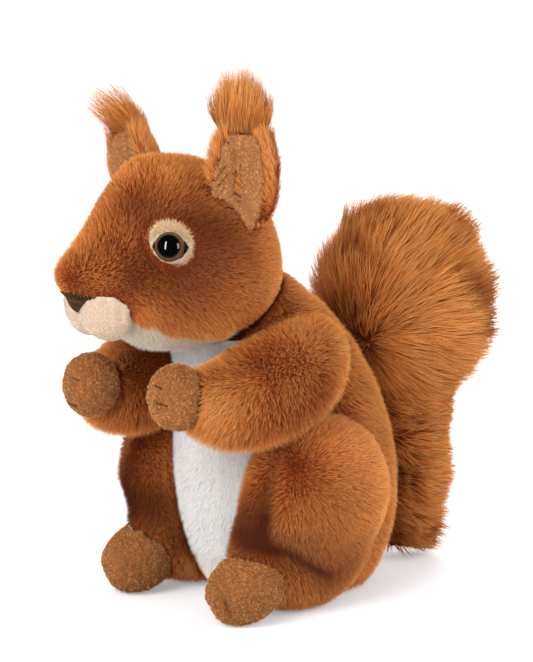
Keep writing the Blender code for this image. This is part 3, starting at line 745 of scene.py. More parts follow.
rust = pile_dye_and_shade("rust_pile", srgb(116, 42, 8), srgb(186, 88, 30), srgb(236, 166, 92), sheen=0.45)
long_rust = pile_dye_and_shade(
    "long_rust_pile", srgb(100, 42, 12), srgb(184, 98, 38), srgb(222, 152, 82),
    sheen=0.25, spread=0.4, own_light=1.1,
)
white = pile_dye_and_shade(
    "white_pile", srgb(218, 214, 210), srgb(236, 233, 230), srgb(246, 245, 243),
    sheen=0.1, spread=0.05, patch=0.03,
)
cream = pile_dye_and_shade(
    "cream_pile", srgb(176, 156, 128), srgb(222, 206, 182), srgb(238, 228, 210),
    sheen=0.15, spread=0.12, patch=0.08,
)
tan = pile_dye_and_shade(
    "tan_nubs", srgb(160, 92, 44), srgb(230, 152, 86), srgb(252, 198, 130),
    sheen=0.2, spread=0.2, patch=0.25, deep=NUB_GAP_SHADOW, nubs=(0.0022, 0.62),
)
lining = pile_dye_and_shade(
    "lining_nubs", srgb(170, 104, 56), srgb(240, 166, 104), srgb(255, 212, 150),
    sheen=0.2, spread=0.2, patch=0.2, deep=NUB_GAP_SHADOW, nubs=(0.0020, 0.65),
)
muzzle = pile_dye_and_shade(
    "muzzle_nubs", srgb(210, 180, 154), srgb(240, 220, 198), srgb(250, 238, 222),
    sheen=0.2, spread=0.12, patch=0.08, deep=MUZZLE_GAP_SHADOW, nubs=(0.0019, 0.45),
)
patch_cream = pile_dye_and_shade(
    "patch_pile", srgb(150, 112, 70), srgb(214, 178, 130), srgb(236, 208, 166),
    sheen=0.15, spread=0.15, patch=0.1, deep=PATCH_EDGE,
)


# %% [markdown]
# ## The cloth's knit
# Between the strands a knitted backing shows, darker than the pile: partly the backing's own
# colour, partly painted shade between the strands. It is plain to make: a colour with fine
# mottling and a bump of small loops.


# %% The cloth's knit
def knit(name, dark, light, loop=900.0):
    """A knitted backing: two close colours and a fine bump."""
    made, tree, shader = principled(name)
    where = put(tree, "ShaderNodeTexCoord")["Object"]
    loops = put(tree, "ShaderNodeTexVoronoi", {"Vector": where, "Scale": loop})["Distance"]
    mottle = put(tree, "ShaderNodeTexNoise", {"Vector": where, "Scale": 120.0, "Detail": 4.0})[0]
    colour = put(tree, "ShaderNodeMix", {0: mottle, 6: dark, 7: light}, data_type="RGBA")[2]
    tree.links.new(colour, shader.inputs["Base Color"])
    sockets = {"Height": loops, "Distance": 0.0004, "Strength": 0.6}
    tree.links.new(put(tree, "ShaderNodeBump", sockets)[0], shader.inputs["Normal"])
    shader.inputs["Roughness"].default_value = 0.9
    shader.inputs["Specular IOR Level"].default_value = 0.2
    return made


# Each backing is darker than its pile: its own colour, and painted shade between the strands
rust_knit = knit("rust_knit", srgb(96, 36, 10), srgb(140, 60, 22))
white_knit = knit("white_knit", srgb(214, 210, 206), srgb(232, 229, 225))
cream_knit = knit("cream_knit", srgb(176, 156, 128), srgb(206, 188, 160))
tan_knit = knit("tan_knit", srgb(112, 64, 32), srgb(176, 110, 62))
lining_knit = knit("lining_knit", srgb(130, 80, 44), srgb(200, 134, 82))
muzzle_knit = knit("muzzle_knit", srgb(200, 170, 144), srgb(226, 204, 182))
felt_knit = knit("felt_knit", srgb(20, 15, 12), srgb(40, 30, 23), loop=1500.0)


# %% [markdown]
# ## Putting a part together
# Every stuffed part is finished the same way: skin, comb, pile, then its materials, both hung on
# the root, and the solid hidden. The skin stands for the CAD solid, and the pile rides with it.
# Tables are written for the toy's left, and two small helpers give the same places on its right.


# %% Putting a part together
SIDES = ((1, "left"), (-1, "right"))


def mirrored(place, side):
    """A place on the toy's left, or its match on the right where side is -1."""
    return (side * place[0], place[1], place[2])


def on_side(spots, side):
    """Soft spots that are given for the left side, moved to the side that is asked for."""
    return [(mirrored(place, side), radius, amount) for place, radius, amount in spots]


def finish_part(skin, pile, node, knitted, dyed_and_shaded):
    """Dresses skin and pile, hangs both on the root, hides the solid and counts the skin's
    triangles.
    """
    skin.data.materials.clear()
    skin.data.materials.append(knitted)
    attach(skin, "root")
    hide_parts(node)
    skin.data.calc_loop_triangles()
    triangles[skin.name] = len(skin.data.loop_triangles)
    pile.data.materials.append(dyed_and_shaded)
    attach(pile, "root")


# %% [markdown]
# ## Body
# The body is a pear of rust plush whose pile runs down towards the seat.

# %% Body
PILE_DEPTH = 0.0030
PILE_REACH = (0.0036, 0.0078)
PILE_LIFT = 1.5
PILE_WIDTH = 0.00032
LOCK = 0.0024
LOCK_PULL = 0.30
SEAM_DEPTH = 0.35
OVER = 0.0006
UNDER_NEIGHBOUR = 0.003
# Darker between the arms and the haunches: painted shadow. Paler on the shoulders and over the back:
# painted light.
BODY_SHADES = (
    ((0.046, -0.020, 0.096), 0.014, 0.65),
    ((0.040, -0.045, 0.095), 0.018, 0.55),
    ((-0.046, -0.020, 0.096), 0.014, 0.65),
    ((0.031, -0.018, 0.142), 0.018, -0.45),
    ((-0.031, -0.018, 0.142), 0.018, -0.45),
    ((0.030, 0.030, 0.100), 0.040, -0.30),
    ((-0.030, 0.030, 0.100), 0.040, -0.30),
    ((0.000, 0.040, 0.060), 0.050, -0.30),
)
torso = cloth_of("torso", "torso_plush", square=0.0030, depth=PILE_DEPTH, seam_depth=SEAM_DEPTH)
stuff(torso, "torso", cap=0.0015)
places, normals = points_of(torso)
shade = shaded(places, BODY_SHADES)
stand = open_to_air(torso, "torso", UNDER_NEIGHBOUR)
comb(torso, (0, 0.15, -1), PILE_LIFT, room_of(torso) + OVER, PILE_REACH, stand, shade)
torso_pile = grown(
    torso, "torso_pile", short_strand, density=3.6e6, width=PILE_WIDTH, lock=LOCK,
    pull=LOCK_PULL, seed=1,
)
finish_part(torso, torso_pile, "torso", rust_knit, rust)

# %% [markdown]
# ## Head
# The pile starts at the nose and runs back over the skull and the cheeks. It is thinner cloth
# round the muzzle, so the skin there lies nearer the surface. Along the jaw the cheek is fuller
# and its fur hangs over the cream chin. The shades follow the photograph, on both halves alike,
# and a paler band down the head's middle, from nose to crown, is painted light on the tips.

# %% Head
HEAD_PLACE = Vector((0, -0.072, 0.156))
HEAD_YAW = math.radians(-12)
head_pose = Matrix.Translation(HEAD_PLACE) @ Matrix.Rotation(HEAD_YAW, 4, "Z")
NOSE = head_pose @ Vector((0, -0.058, -0.008))
MUZZLE_SPOT = head_pose @ Vector((0, -0.044, -0.014))
MUZZLE_REACH = 0.020
NOSE_REACH = 0.012
HEAD_REACH = (0.0016, 0.0085)
HEAD_SHADE = 0.12
# A paler band down the middle of the head, from nose to crown: painted light
MIDLINE_PAINTED_LIGHT = -0.22
MIDLINE_WIDTH = 0.010
# Places on the left half of the head, seen from the head's own middle, with radius and shade
FACE_SHADES = (
    ((0.042, -0.008, 0.013), 0.016, 0.36),
    ((0.036, -0.018, 0.000), 0.014, 0.42),
    ((0.033, -0.013, 0.028), 0.012, 0.42),
    ((0.020, -0.028, 0.030), 0.009, 0.40),
    ((0.026, -0.034, 0.004), 0.009, 0.50),
    ((0.024, -0.040, -0.006), 0.007, 0.45),
    ((0.038, 0.004, 0.022), 0.014, 0.36),
    ((0.046, 0.012, 0.006), 0.013, 0.25),
    ((0.040, -0.002, -0.012), 0.018, 0.10),
    ((0.016, -0.030, 0.032), 0.014, 0.20),
    ((0.030, -0.018, -0.022), 0.012, 0.12),
    ((0.012, -0.050, 0.006), 0.010, -0.20),
    ((0.024, -0.020, 0.040), 0.009, -0.30),
)
JAW_LINE = (
    (0.0215, -0.0330, -0.0195),
    (0.0227, -0.0299, -0.0210),
    (0.0268, -0.0227, -0.0232),
    (0.0306, -0.0150, -0.0245),
    (0.0333, -0.0066, -0.0252),
    (0.0331, 0.0030, -0.0260),
)
JAW_WIDTH = 0.0070
JAW_SWELL = 0.0022
JAW_FUR = 0.0016


def head_spots(spots):
    """The spots on both halves of the head, in the toy's own space."""
    both = []
    for place, radius, amount in spots:
        for side, _ in SIDES:
            both.append((head_pose @ Vector(mirrored(place, side)), radius, amount))
    return both


def head_depth(places):
    """The pile's depth on the head, a quarter of the usual one at the muzzle."""
    away = np.linalg.norm(places - np.array(MUZZLE_SPOT), axis=1) / MUZZLE_REACH
    return PILE_DEPTH * (1 - 0.75 * np.exp(-(away**4)))


head = cloth_of("head", "head_plush", 0.0022, head_depth, smooth=3, seam_depth=SEAM_DEPTH)
stuff(head, "head", cap=0.0012)
jaw = 0
for side, _ in SIDES:
    line = [head_pose @ Vector(mirrored(place, side)) for place in JAW_LINE]
    jaw = jaw + pressed(head, line, JAW_WIDTH, -JAW_SWELL)
places, normals = points_of(head)
from_nose = places - np.array(NOSE)
away = np.linalg.norm(from_nose, axis=1, keepdims=True)
lie = unit(from_nose) * np.clip(away / NOSE_REACH, 0, 1)
lie += np.array((0, 0, -0.25)) + jaw[:, None] * np.array((0, 0, -1.5))
across = (places - np.array(HEAD_PLACE)) @ np.array(head_pose.to_3x3() @ Vector((1, 0, 0)))
# The head's base shade, painted light down its middle, and the face's soft spots
shade = HEAD_SHADE + MIDLINE_PAINTED_LIGHT * np.exp(-((across / MIDLINE_WIDTH) ** 2))
shade += shaded(places, head_spots(FACE_SHADES))
stand = open_to_air(head, "head", UNDER_NEIGHBOUR)
height = room_of(head) + OVER + JAW_FUR * jaw
comb(head, lie, PILE_LIFT, height, HEAD_REACH, stand, shade)
head_pile = grown(
    head, "head_pile", short_strand, density=5.2e6, width=0.00030, lock=0.0022,
    pull=LOCK_PULL, seed=2,
)
finish_part(head, head_pile, "head", rust_knit, rust)

# %% [markdown]
# ## White belly and cream chin
# Both are panels let into the plush around them, with shorter, smoother pile.

# %% White belly and cream chin
UNDER_PLUSH = 0.002
# The chin is darkened a little all over: painted shade under the head
CHIN_SHADE = 0.12

belly = cloth_of("belly_panel", "belly_plush", square=0.0012, depth=0.0002, smooth=2)
stand = open_to_air(belly, "belly_panel", UNDER_PLUSH)
comb(belly, (0, 0, -1), lift=1.4, height=0.0022, reach=(0.002, 0.004), stand=stand)
belly_pile = grown(
    belly, "belly_pile", short_strand, density=4.5e6, width=0.00030, lock=0.004, pull=0.0,
    seed=3, wave=0.1, stray=0.1, lock_tone=0.0,
)
finish_part(belly, belly_pile, "belly_panel", white_knit, white)

chin = cloth_of("chin_panel", "chin_plush", square=0.0012, depth=0.0022, smooth=2)
stand = open_to_air(chin, "chin_panel", UNDER_PLUSH)
comb(chin, (0, 0.6, -0.3), 0.8, 0.0028, (0.003, 0.006), stand, CHIN_SHADE)
chin_pile = grown(
    chin, "chin_pile", short_strand, density=3.2e6, width=0.00038, lock=0.003, pull=0.25,
    seed=4,
)
finish_part(chin, chin_pile, "chin_panel", cream_knit, cream)

# %% [markdown]
# ## Arms and legs
# The arms' pile runs towards the wrist, where it is paler, and hangs longer under the forearm.
# On the haunch it spreads from a whorl, and two folds, drawn in by the stitches and darkened as
# painted shade, mark the thigh and the ankle. The photograph shows them plainly on the near leg
# only.

# %% Arms and legs
# Paler on the shoulder and along the arm's top: painted light. Darker low at the arm's back: painted
# shadow of the crease against the body. A small darker patch at the shoulder's front.
ARM_SHADES = (
    ((0.050, -0.020, 0.128), 0.020, -0.30),
    ((0.058, -0.040, 0.120), 0.018, -0.25),
    ((0.064, -0.057, 0.116), 0.014, -0.45),
    ((0.066, -0.040, 0.103), 0.011, 0.60),
    ((0.050, -0.067, 0.127), 0.010, 0.30),
)
WRIST = (0.042, -0.093, 0.108)
WRIST_REACH = 0.024
WRIST_SHADE = -0.45
WRIST_FUR = 0.0016
HANGING = (0.1, 0.8)
HANGING_FUR = 0.0028
UPPER_ARM_ENDS = (-0.020, -0.060)
ARM_REACH = (0.0036, 0.0110)
WHORL = (0.062, -0.054, 0.069)
# Darker at the whorl and on the shin. Darker low on the haunch near the floor and in the tuck
# between foot and belly: painted shade. Paler along the haunch's top and back: painted light.
LEG_SHADES = (
    (WHORL, 0.012, 0.30),
    ((0.045, -0.069, 0.057), 0.011, 0.60),
    ((0.042, -0.066, 0.040), 0.014, 0.70),
    ((0.026, -0.062, 0.043), 0.014, 0.55),
    ((0.017, -0.055, 0.025), 0.012, 0.80),
    ((0.057, -0.052, 0.034), 0.016, 0.40),
    ((0.055, -0.028, 0.018), 0.022, 0.50),
    ((0.064, -0.036, 0.052), 0.022, 0.22),
    ((0.052, -0.020, 0.086), 0.016, -0.15),
    ((0.066, 0.000, 0.060), 0.022, -0.30),
    ((0.057, -0.008, 0.024), 0.016, 0.30),
)
THIGH_FOLD = (
    (0.0533, -0.0575, 0.0772),
    (0.0516, -0.0613, 0.0681),
    (0.0523, -0.0648, 0.0557),
    (0.0496, -0.0641, 0.0417),
)
ANKLE_FOLD = (
    (0.0446, -0.0668, 0.0390),
    (0.0545, -0.0538, 0.0328),
    (0.0543, -0.0283, 0.0179),
)
FOLD_WIDTH = 0.0036
FOLD_DEPTH = {"left": 0.0030, "right": 0.0004}
# Folds are darkened in their creases: painted shade
FOLD_SHADE = 0.55
WHORL_REACH = 0.02


for side, word in SIDES:
    node = f"arm_{word}"
    arm = cloth_of(node, f"{node}_plush", 0.0022, PILE_DEPTH, seam_depth=SEAM_DEPTH)
    stuff(arm, node, cap=0.0012)
    places, normals = points_of(arm)
    hang = eased(*HANGING, -normals[:, 2])
    wrist = shaded(places, [(mirrored(WRIST, side), WRIST_REACH, 1.0)])
    shade = shaded(places, on_side(ARM_SHADES, side)) + WRIST_SHADE * wrist
    height = room_of(arm) + OVER + HANGING_FUR * hang + WRIST_FUR * wrist
    forwards = eased(*UPPER_ARM_ENDS, places[:, 1])[:, None]
    lie = np.array((0, -0.7, -0.5)) * forwards
    lie = lie + np.array((side * 0.2, 0.3, -0.8)) * (1 - forwards)
    stand = open_to_air(arm, node, UNDER_NEIGHBOUR)
    comb(arm, lie, PILE_LIFT - 0.5 * wrist, height, ARM_REACH, stand, shade)
    arm_pile = grown(
        arm, f"{node}_pile", short_strand, density=4.4e6, width=PILE_WIDTH, lock=LOCK,
        pull=LOCK_PULL, seed=5,
    )
    finish_part(arm, arm_pile, node, rust_knit, rust)

    node = f"leg_{word}"
    leg = cloth_of(node, f"{node}_plush", 0.0024, PILE_DEPTH, seam_depth=SEAM_DEPTH)
    stuff(leg, node, cap=0.0012)
    folds = 0
    for line in (THIGH_FOLD, ANKLE_FOLD):
        line = [mirrored(place, side) for place in line]
        folds = folds + pressed(leg, line, FOLD_WIDTH, FOLD_DEPTH[word])
    places, normals = points_of(leg)
    whorl = np.array(mirrored(WHORL, side))
    lie = (places - whorl) / WHORL_REACH
    lie = unit(lie) * np.clip(np.linalg.norm(lie, axis=1, keepdims=True), 0, 1)
    lie += np.array((0, 0, -0.35))
    shade = shaded(places, on_side(LEG_SHADES, side)) + FOLD_SHADE * folds
    stand = open_to_air(leg, node, UNDER_NEIGHBOUR)
    comb(leg, lie, PILE_LIFT, room_of(leg) + OVER, PILE_REACH, stand, shade)
    leg_pile = grown(
        leg, f"{node}_pile", short_strand, density=4.4e6, width=PILE_WIDTH, lock=LOCK,
        pull=LOCK_PULL, seed=6,
    )
    finish_part(leg, leg_pile, node, rust_knit, rust)

# %% [markdown]
# ## Tail
# The tail is a sleeve of long-haired plush, loosely filled, so its cloth billows. Seen from the
# side its hair lies outwards along the stem, and in the brush it fans from near the body's back:
# steeply up at the top, level in the middle and a little down below. The table of angles is
# that fan. The cloth lies deep under the solid's surface, because the hair takes up the rest.

# %% Tail
TAIL_DEPTH = 0.0085
TAIL_HEIGHT = 0.0085
TAIL_LIFT = 0.40
TAIL_REACH = (0.0065, 0.028)
# The fan's middle as y and z, then how far round it each lie is given, and the lie itself
FAN_MIDDLE = (0.000, 0.100)
FAN_PLACE = np.radians((-40, 0, 28, 46, 60, 69, 85, 110))
FAN_LIE = np.radians((-20, -14, 12, 38, 62, 96, 116, 128))
FORESHORTENING = 0.75
STEM_UP = (0.0, 0.02, 0.06, 0.085)
STEM_LIE = np.radians((-22, -10, -3, 0))
STEM_ENDS = (0.066, 0.088)
STEM_SHORTER = 0.0035
# Where round the fan the hair is cut shorter: middle, width, change
TAIL_TRIM = (
    (math.radians(65), math.radians(8), -0.0030),
    (math.radians(-20), math.radians(11), -0.0035),
)
# The side next to the back: its hair stands upwards, a little forwards, and longer at the top
FRONT_EDGE = (0.020, 0.042)
FRONT_LIE = math.radians(106)
FRONT_LONGER = 0.0050
FRONT_TOP = (0.120, 0.140)
SIDEWAYS = 8
BILLOW_SIZE = 0.016
BILLOW_RISE = 0.0030
# Swells of the billowing cloth are painted paler and its hollows darker: painted light and shade
BILLOW_SHADE = 0.55
# Darker where the tail meets the back, low by the body and along its rear edge: painted shade. Paler
# at its root and across its middle: painted light. A darker patch near its top.
TAIL_SHADES = (
    ((0.010, 0.012, 0.150), 0.020, 0.55),
    ((0.008, 0.021, 0.134), 0.014, -0.35),
    ((0.016, 0.052, 0.073), 0.012, 0.55),
    ((0.014, 0.045, 0.048), 0.016, 0.45),
    ((0.030, 0.064, 0.169), 0.013, 0.45),
    ((0.038, 0.084, 0.134), 0.024, 0.50),
    ((0.041, 0.059, 0.138), 0.014, 0.30),
    ((0.030, 0.040, 0.122), 0.020, -0.30),
    ((0.024, 0.064, 0.030), 0.024, -0.15),
)
tail = cloth_of("tail", "tail_plush", square=0.0032, depth=TAIL_DEPTH, smooth=5)
places, normals = points_of(tail)
billow = np.array([noise.noise(Vector(place) / BILLOW_SIZE) for place in places])
place_points(tail, places + normals * (BILLOW_RISE * billow)[:, None])
places, normals = points_of(tail)
x, y, z = places.T
around = np.arctan2(z - FAN_MIDDLE[1], FORESHORTENING * (y - FAN_MIDDLE[0]))
in_stem = 1 - eased(*STEM_ENDS, z)
front = 1 - eased(*FRONT_EDGE, y)
fan = np.interp(around, FAN_PLACE, FAN_LIE)
angle = (fan + (FRONT_LIE - fan) * front) * (1 - in_stem)
angle += np.interp(z, STEM_UP, STEM_LIE) * in_stem
lie = np.stack((x * SIDEWAYS, np.cos(angle) / FORESHORTENING, np.sin(angle)), axis=1)
# Painted light on the billows' swells and painted shade in their hollows, then the soft spots
shade = -BILLOW_SHADE * billow
for side, _ in SIDES:
    shade += shaded(places, on_side(TAIL_SHADES, side))
stand = open_to_air(tail, "tail", depth=0.004)
height = TAIL_HEIGHT - STEM_SHORTER * in_stem
height = height + FRONT_LONGER * front * eased(*FRONT_TOP, z)
for middle, width, change in TAIL_TRIM:
    height = height + change * np.exp(-(((around - middle) / width) ** 2))
comb(tail, unit(lie), TAIL_LIFT, height, TAIL_REACH, stand, shade)
tail_pile = grown(
    tail, "tail_pile", long_strand, density=2.2e6, width=0.00038, lock=0.0055, pull=0.5,
    seed=7, lock_tone=0.5, wave=0.9, stray=0.12, shortest=0.5,
)
finish_part(tail, tail_pile, "tail", rust_knit, long_rust)

# %% [markdown]
# ## Where the ears stand
# Each ear is sewn to the head at its own turn, splay and lean, as the photograph shows. Work on
# an ear is easiest in its own space, with its foot at nought and its tip straight up, so two
# small helpers go there and back. The far ear is seen nearly from its edge, and its cloth is
# drawn out a little, as the real one's curled rim makes it look wider.

# %% Where the ears stand
EAR_ROOT = (0.034, 0.016, 0.020)
EAR_TALL = 0.046
EAR_HALF_WIDTH = 0.0165
# Turn, splay and lean in degrees
EAR_TURNS = {"left": (46, 6, 1), "right": (-2, -29, 6)}
FAR_EAR_STRETCH = 0.28
FAR_EAR_EDGE = 0.008
ACROSS_VIEW = np.array((math.cos(CAMERA_AZIMUTH), math.sin(CAMERA_AZIMUTH), 0))


def ear_pose(side, word):
    """Where an ear stands: its foot on the head and its own turn, splay and lean."""
    turn, splay, lean = [math.radians(angle) for angle in EAR_TURNS[word]]
    root = Matrix.Translation(mirrored(EAR_ROOT, side)) @ Matrix.Rotation(splay, 4, "Y")
    return head_pose @ root @ Matrix.Rotation(turn, 4, "Z") @ Matrix.Rotation(lean, 4, "X")


def seen_from(pose, places):
    """The places in the pose's own space."""
    back = np.array(pose.inverted())
    return places @ back[:3, :3].T + back[:3, 3]


def placed_by(pose, places):
    """Places in the pose's own space, brought back to the toy's."""
    turned = np.array(pose)
    return places @ turned[:3, :3].T + turned[:3, 3]


def stretch_far_ear(skin, word):
    """Draws the far ear's cloth out towards the camera's left, as its rim is curled there."""
    if word == "right":
        places, _ = points_of(skin)
        beside = places @ ACROSS_VIEW - np.dot(ear_pose(-1, "right").translation, ACROSS_VIEW)
        move = FAR_EAR_STRETCH * np.minimum(beside - FAR_EAR_EDGE, 0)
        place_points(skin, places + move[:, None] * ACROSS_VIEW)


# %% [markdown]
# ## Nubby parts
# Paws, feet, ear linings and muzzle pads are cut from a short curly plush that looks pebbled.
# Each skin gets lumps with narrow gaps between them and a very short crinkled pile, whose colour
# is darkened in the gaps between the curls and along a few folds, as painted shade. The ear
# linings are drawn in at their outer edge, where the ears' own fur comes round to the front.

# %% Nubby parts
NUB_SIZE = {"paw": 0.0025, "foot": 0.0025, "muzzle_pad": 0.0018, "ear_lining": 0.0019}
NUB_RISE = {"paw": 0.0009, "foot": 0.0009, "muzzle_pad": 0.0003, "ear_lining": 0.0005}
# How far the gaps between the nubs are darkened on the skin: painted shade
NUB_GAP_SHADE = {"paw": 0.5, "foot": 0.5, "muzzle_pad": 0.15, "ear_lining": 0.35}
NUB_DEPTH = {"paw": 0.0002, "foot": 0.0002, "muzzle_pad": 0.0003, "ear_lining": -0.0009}
LINING_NARROWING = 0.76
NUB_FOLDS = {
    "foot_left": (
        (0.0452, -0.0805, 0.0050), (0.0450, -0.0815, 0.0090), (0.0432, -0.0835, 0.0150),
    ),
    "foot_right": (
        (-0.0278, -0.0800, 0.0190), (-0.0280, -0.0820, 0.0130), (-0.0285, -0.0835, 0.0080),
    ),
    "ear_lining_left": (
        (0.0405, -0.0738, 0.2095), (0.0400, -0.0721, 0.1934), (0.0470, -0.0680, 0.1790),
    ),
}
NUB_FOLD_WIDTH = 0.0022
NUB_FOLD_DEPTH = 0.0008
# Folds pressed into the nubby cloth are darkened as painted shade
NUB_FOLD_SHADE = 2.0
NUB_GAP_WIDTH = 0.22


def pebbled(skin, size, rise):
    """Pushes rounded nubs out of a skin and gives how deep in a gap each point lies."""
    places, normals = points_of(skin)
    gap = np.zeros(len(places))
    for i, place in enumerate(places):
        near, _ = noise.voronoi(Vector(place) / size)
        gap[i] = math.exp(-((near[1] - near[0]) / NUB_GAP_WIDTH) ** 2)
    place_points(skin, places - normals * (gap * rise)[:, None])
    return gap


linings = {}
for side, word in SIDES:
    for part, slot, knitted, dyed_and_shaded in (
        ("paw", "tan_short_plush", tan_knit, tan),
        ("foot", "tan_short_plush", tan_knit, tan),
        ("muzzle_pad", "muzzle_short_plush", muzzle_knit, muzzle),
        ("ear_lining", "ear_lining_plush", lining_knit, lining),
    ):
        node = f"{part}_{word}"
        nub = cloth_of(node, f"{node}_plush", 0.0007, NUB_DEPTH[part], smooth=2)
        if part == "ear_lining":
            pose = ear_pose(side, word)
            local = seen_from(pose, points_of(nub)[0])
            local[side * local[:, 0] > 0, 0] *= LINING_NARROWING
            place_points(nub, placed_by(pose, local))
            stretch_far_ear(nub, word)
            linings[word] = nub
        gap = pebbled(nub, NUB_SIZE[part], NUB_RISE[part])
        if node in NUB_FOLDS:
            fold = pressed(nub, NUB_FOLDS[node], NUB_FOLD_WIDTH, NUB_FOLD_DEPTH)
            gap = np.maximum(gap, NUB_FOLD_SHADE * fold)
        stand = open_to_air(nub, node, UNDER_NEIGHBOUR)
        shade = NUB_GAP_SHADE[part] * gap
        comb(nub, (0, 0, -0.4), 1.4, 0.0009, (0.0008, 0.0014), stand, shade)
        nub_pile = grown(
            nub, f"{node}_pile", short_strand, density=6e6, width=0.00034, lock=0.0014,
            pull=0.5, seed=8, wave=1.2, stray=0.8,
        )
        finish_part(nub, nub_pile, node, knitted, dyed_and_shaded)

# %% [markdown]
# ## Ears
# The ears are two leaves of the rust plush, longer-haired towards the top, and each ends in a
# tuft of the tail's long hair. An ear's cloth is made from its solid and its lining's together,
# so the lining lies on it without a gap, and no hair grows under the lining. The tuft is a
# small bundle of cloth, set low behind the ear's top, with long wisps of very uneven length,
# because one even length would look like a brush.

# %% Ears
EAR_FUR = 0.0024
EAR_INNER_FUR = 0.0050
EAR_TOP_FUR = 0.0070
EAR_SHADE = -0.25
UNDER_LINING = 0.0045
# Where a tuft sits on its ear: sideways, forwards, and its tilt in degrees
TUFT_PLACES = {"left": (-0.0045, -0.002, 8), "right": (0.0045, -0.0085, 28)}
TUFT_FAN = {"left": 20, "right": 40}
TUFT_SQUAT = 0.32
TUFT_SINK = {"left": 0.0030, "right": 0.0050}
TUFT_BACK = {"left": 0.0035, "right": 0.0}
TUFT_SLIM = {"left": 1.15, "right": 0.50}
TUFT_HALF_WIDTH = 0.0105
TUFT_LENGTH = 0.027
TUFT_EDGE_SHORTER = 0.35
TUFT_SHADE = -0.3

for side, word in SIDES:
    pose = ear_pose(side, word)
    node = f"ear_{word}"
    within = (f"ear_lining_{word}",)
    ear = cloth_of(node, f"{node}_plush", square=0.0014, depth=0.0012, smooth=2, also=within)
    stretch_far_ear(ear, word)
    places, normals = points_of(ear)
    local = seen_from(pose, places)
    up = np.clip(local[:, 2] / EAR_TALL, 0, 1)
    inner = eased(0.2, 1.0, -side * local[:, 0] / EAR_HALF_WIDTH)
    height = EAR_FUR + EAR_INNER_FUR * inner * eased(0.3, 0.9, up)
    height += EAR_TOP_FUR * eased(0.8, 1.0, up)
    upwards = np.array(pose.to_3x3() @ Vector((-side * 0.3, 0, 1)))
    form = bmesh.new()
    form.from_mesh(linings[word].data)
    stand = open_to_air(ear, node, UNDER_LINING, BVHTree.FromBMesh(form))
    form.free()
    stand *= open_to_air(ear, node, 0.004, surface_of("head"))
    comb(ear, upwards, 0.8, height, (0.003, 0.0125), stand, EAR_SHADE)
    ear_pile = grown(
        ear, f"{node}_pile", short_strand, density=6.0e6, width=0.00034, lock=0.003, pull=0.4,
        seed=9,
    )
    finish_part(ear, ear_pile, node, rust_knit, rust)

    shift, forward, tilt = TUFT_PLACES[word]
    foot = Matrix.Translation((shift, forward, EAR_TALL - 0.002))
    tuft_pose = pose @ foot @ Matrix.Rotation(math.radians(tilt), 4, "X")
    node = f"ear_tuft_{word}"
    tuft = cloth_of(node, f"{node}_plush", square=0.0012, depth=0.0014, smooth=3)
    places, normals = points_of(tuft)
    local = seen_from(tuft_pose, places)
    local *= np.array((TUFT_SLIM[word], TUFT_SLIM[word], TUFT_SQUAT))
    local += np.array((0, TUFT_BACK[word], -TUFT_SINK[word]))
    place_points(tuft, placed_by(tuft_pose, local))
    fan = TUFT_FAN[word]
    lie = unit(local * np.array((fan, fan, 0)) + np.array((0, 0, 1)))
    lie = lie @ np.array(tuft_pose)[:3, :3].T
    off_middle = np.clip(np.hypot(local[:, 0], local[:, 1]) / TUFT_HALF_WIDTH, 0, 1)
    length = TUFT_LENGTH * (1 - TUFT_EDGE_SHORTER * off_middle**2)
    comb(tuft, lie, 0.12, length, (0.006, 0.029), 1.0, TUFT_SHADE, flat=False)
    tuft_pile = grown(
        tuft, f"{node}_pile", long_strand, density=6.0e6, width=0.00030, lock=0.0050, pull=0.7,
        seed=10, lock_tone=0.5, wave=0.7, stray=0.10, shortest=0.12,
    )
    finish_part(tuft, tuft_pile, node, rust_knit, long_rust)

# %% [markdown]
# ## Eyes
# A safety eye is one moulding: a dome with a brown iris printed round a black pupil, on a ribbed
# shank. The solid's dome is coarse, so a finer one is spun in its place, on the solid's own
# axis, which is found from its points. Behind it lie a leaf of black felt and a cream patch,
# which the face's rust fur covers on the side towards the nose, so it is painted rust there.

# %% Eyes
EYE_RADIUS = 0.0065
EYE_DOME = 0.0044
SHANK_RADIUS = 0.0019
SHANK_LENGTH = 0.0125
DOME_STEPS = 12
SPIN_STEPS = 48
FELT_SHARE = 0.84
PATCH_SHADE = 0.1
NOSEWARD = head_pose.to_3x3() @ Vector((0, -0.74, 0)) + Vector((0, 0, -0.67))
IRIS_STOPS = (
    (0.00, srgb(5, 5, 6)),
    (0.70, srgb(7, 6, 5)),
    (0.75, srgb(48, 34, 24)),
    (0.86, srgb(94, 70, 50)),
    (0.95, srgb(62, 44, 30)),
    (1.00, srgb(16, 11, 8)),
)


def eye_axis(node):
    """The middle of the dome's flat back and the way the dome faces, from the solid's points."""
    copy = merged_copy(node, "eye_points")
    places, _ = points_of(copy)
    bpy.data.objects.remove(copy)
    middle = places.mean(axis=0)
    sizes, ways = np.linalg.eigh(np.cov((places - middle).T))
    # The eye is round, so two of its three spreads are alike and the odd one is its axis
    axis = ways[:, 2] if sizes[1] - sizes[0] < sizes[2] - sizes[1] else ways[:, 0]
    reach = (places - middle) @ axis
    if reach.max() > -reach.min():
        axis = -axis
        reach = -reach
    return Vector(middle + axis * (reach.max() - EYE_DOME)), Vector(axis)


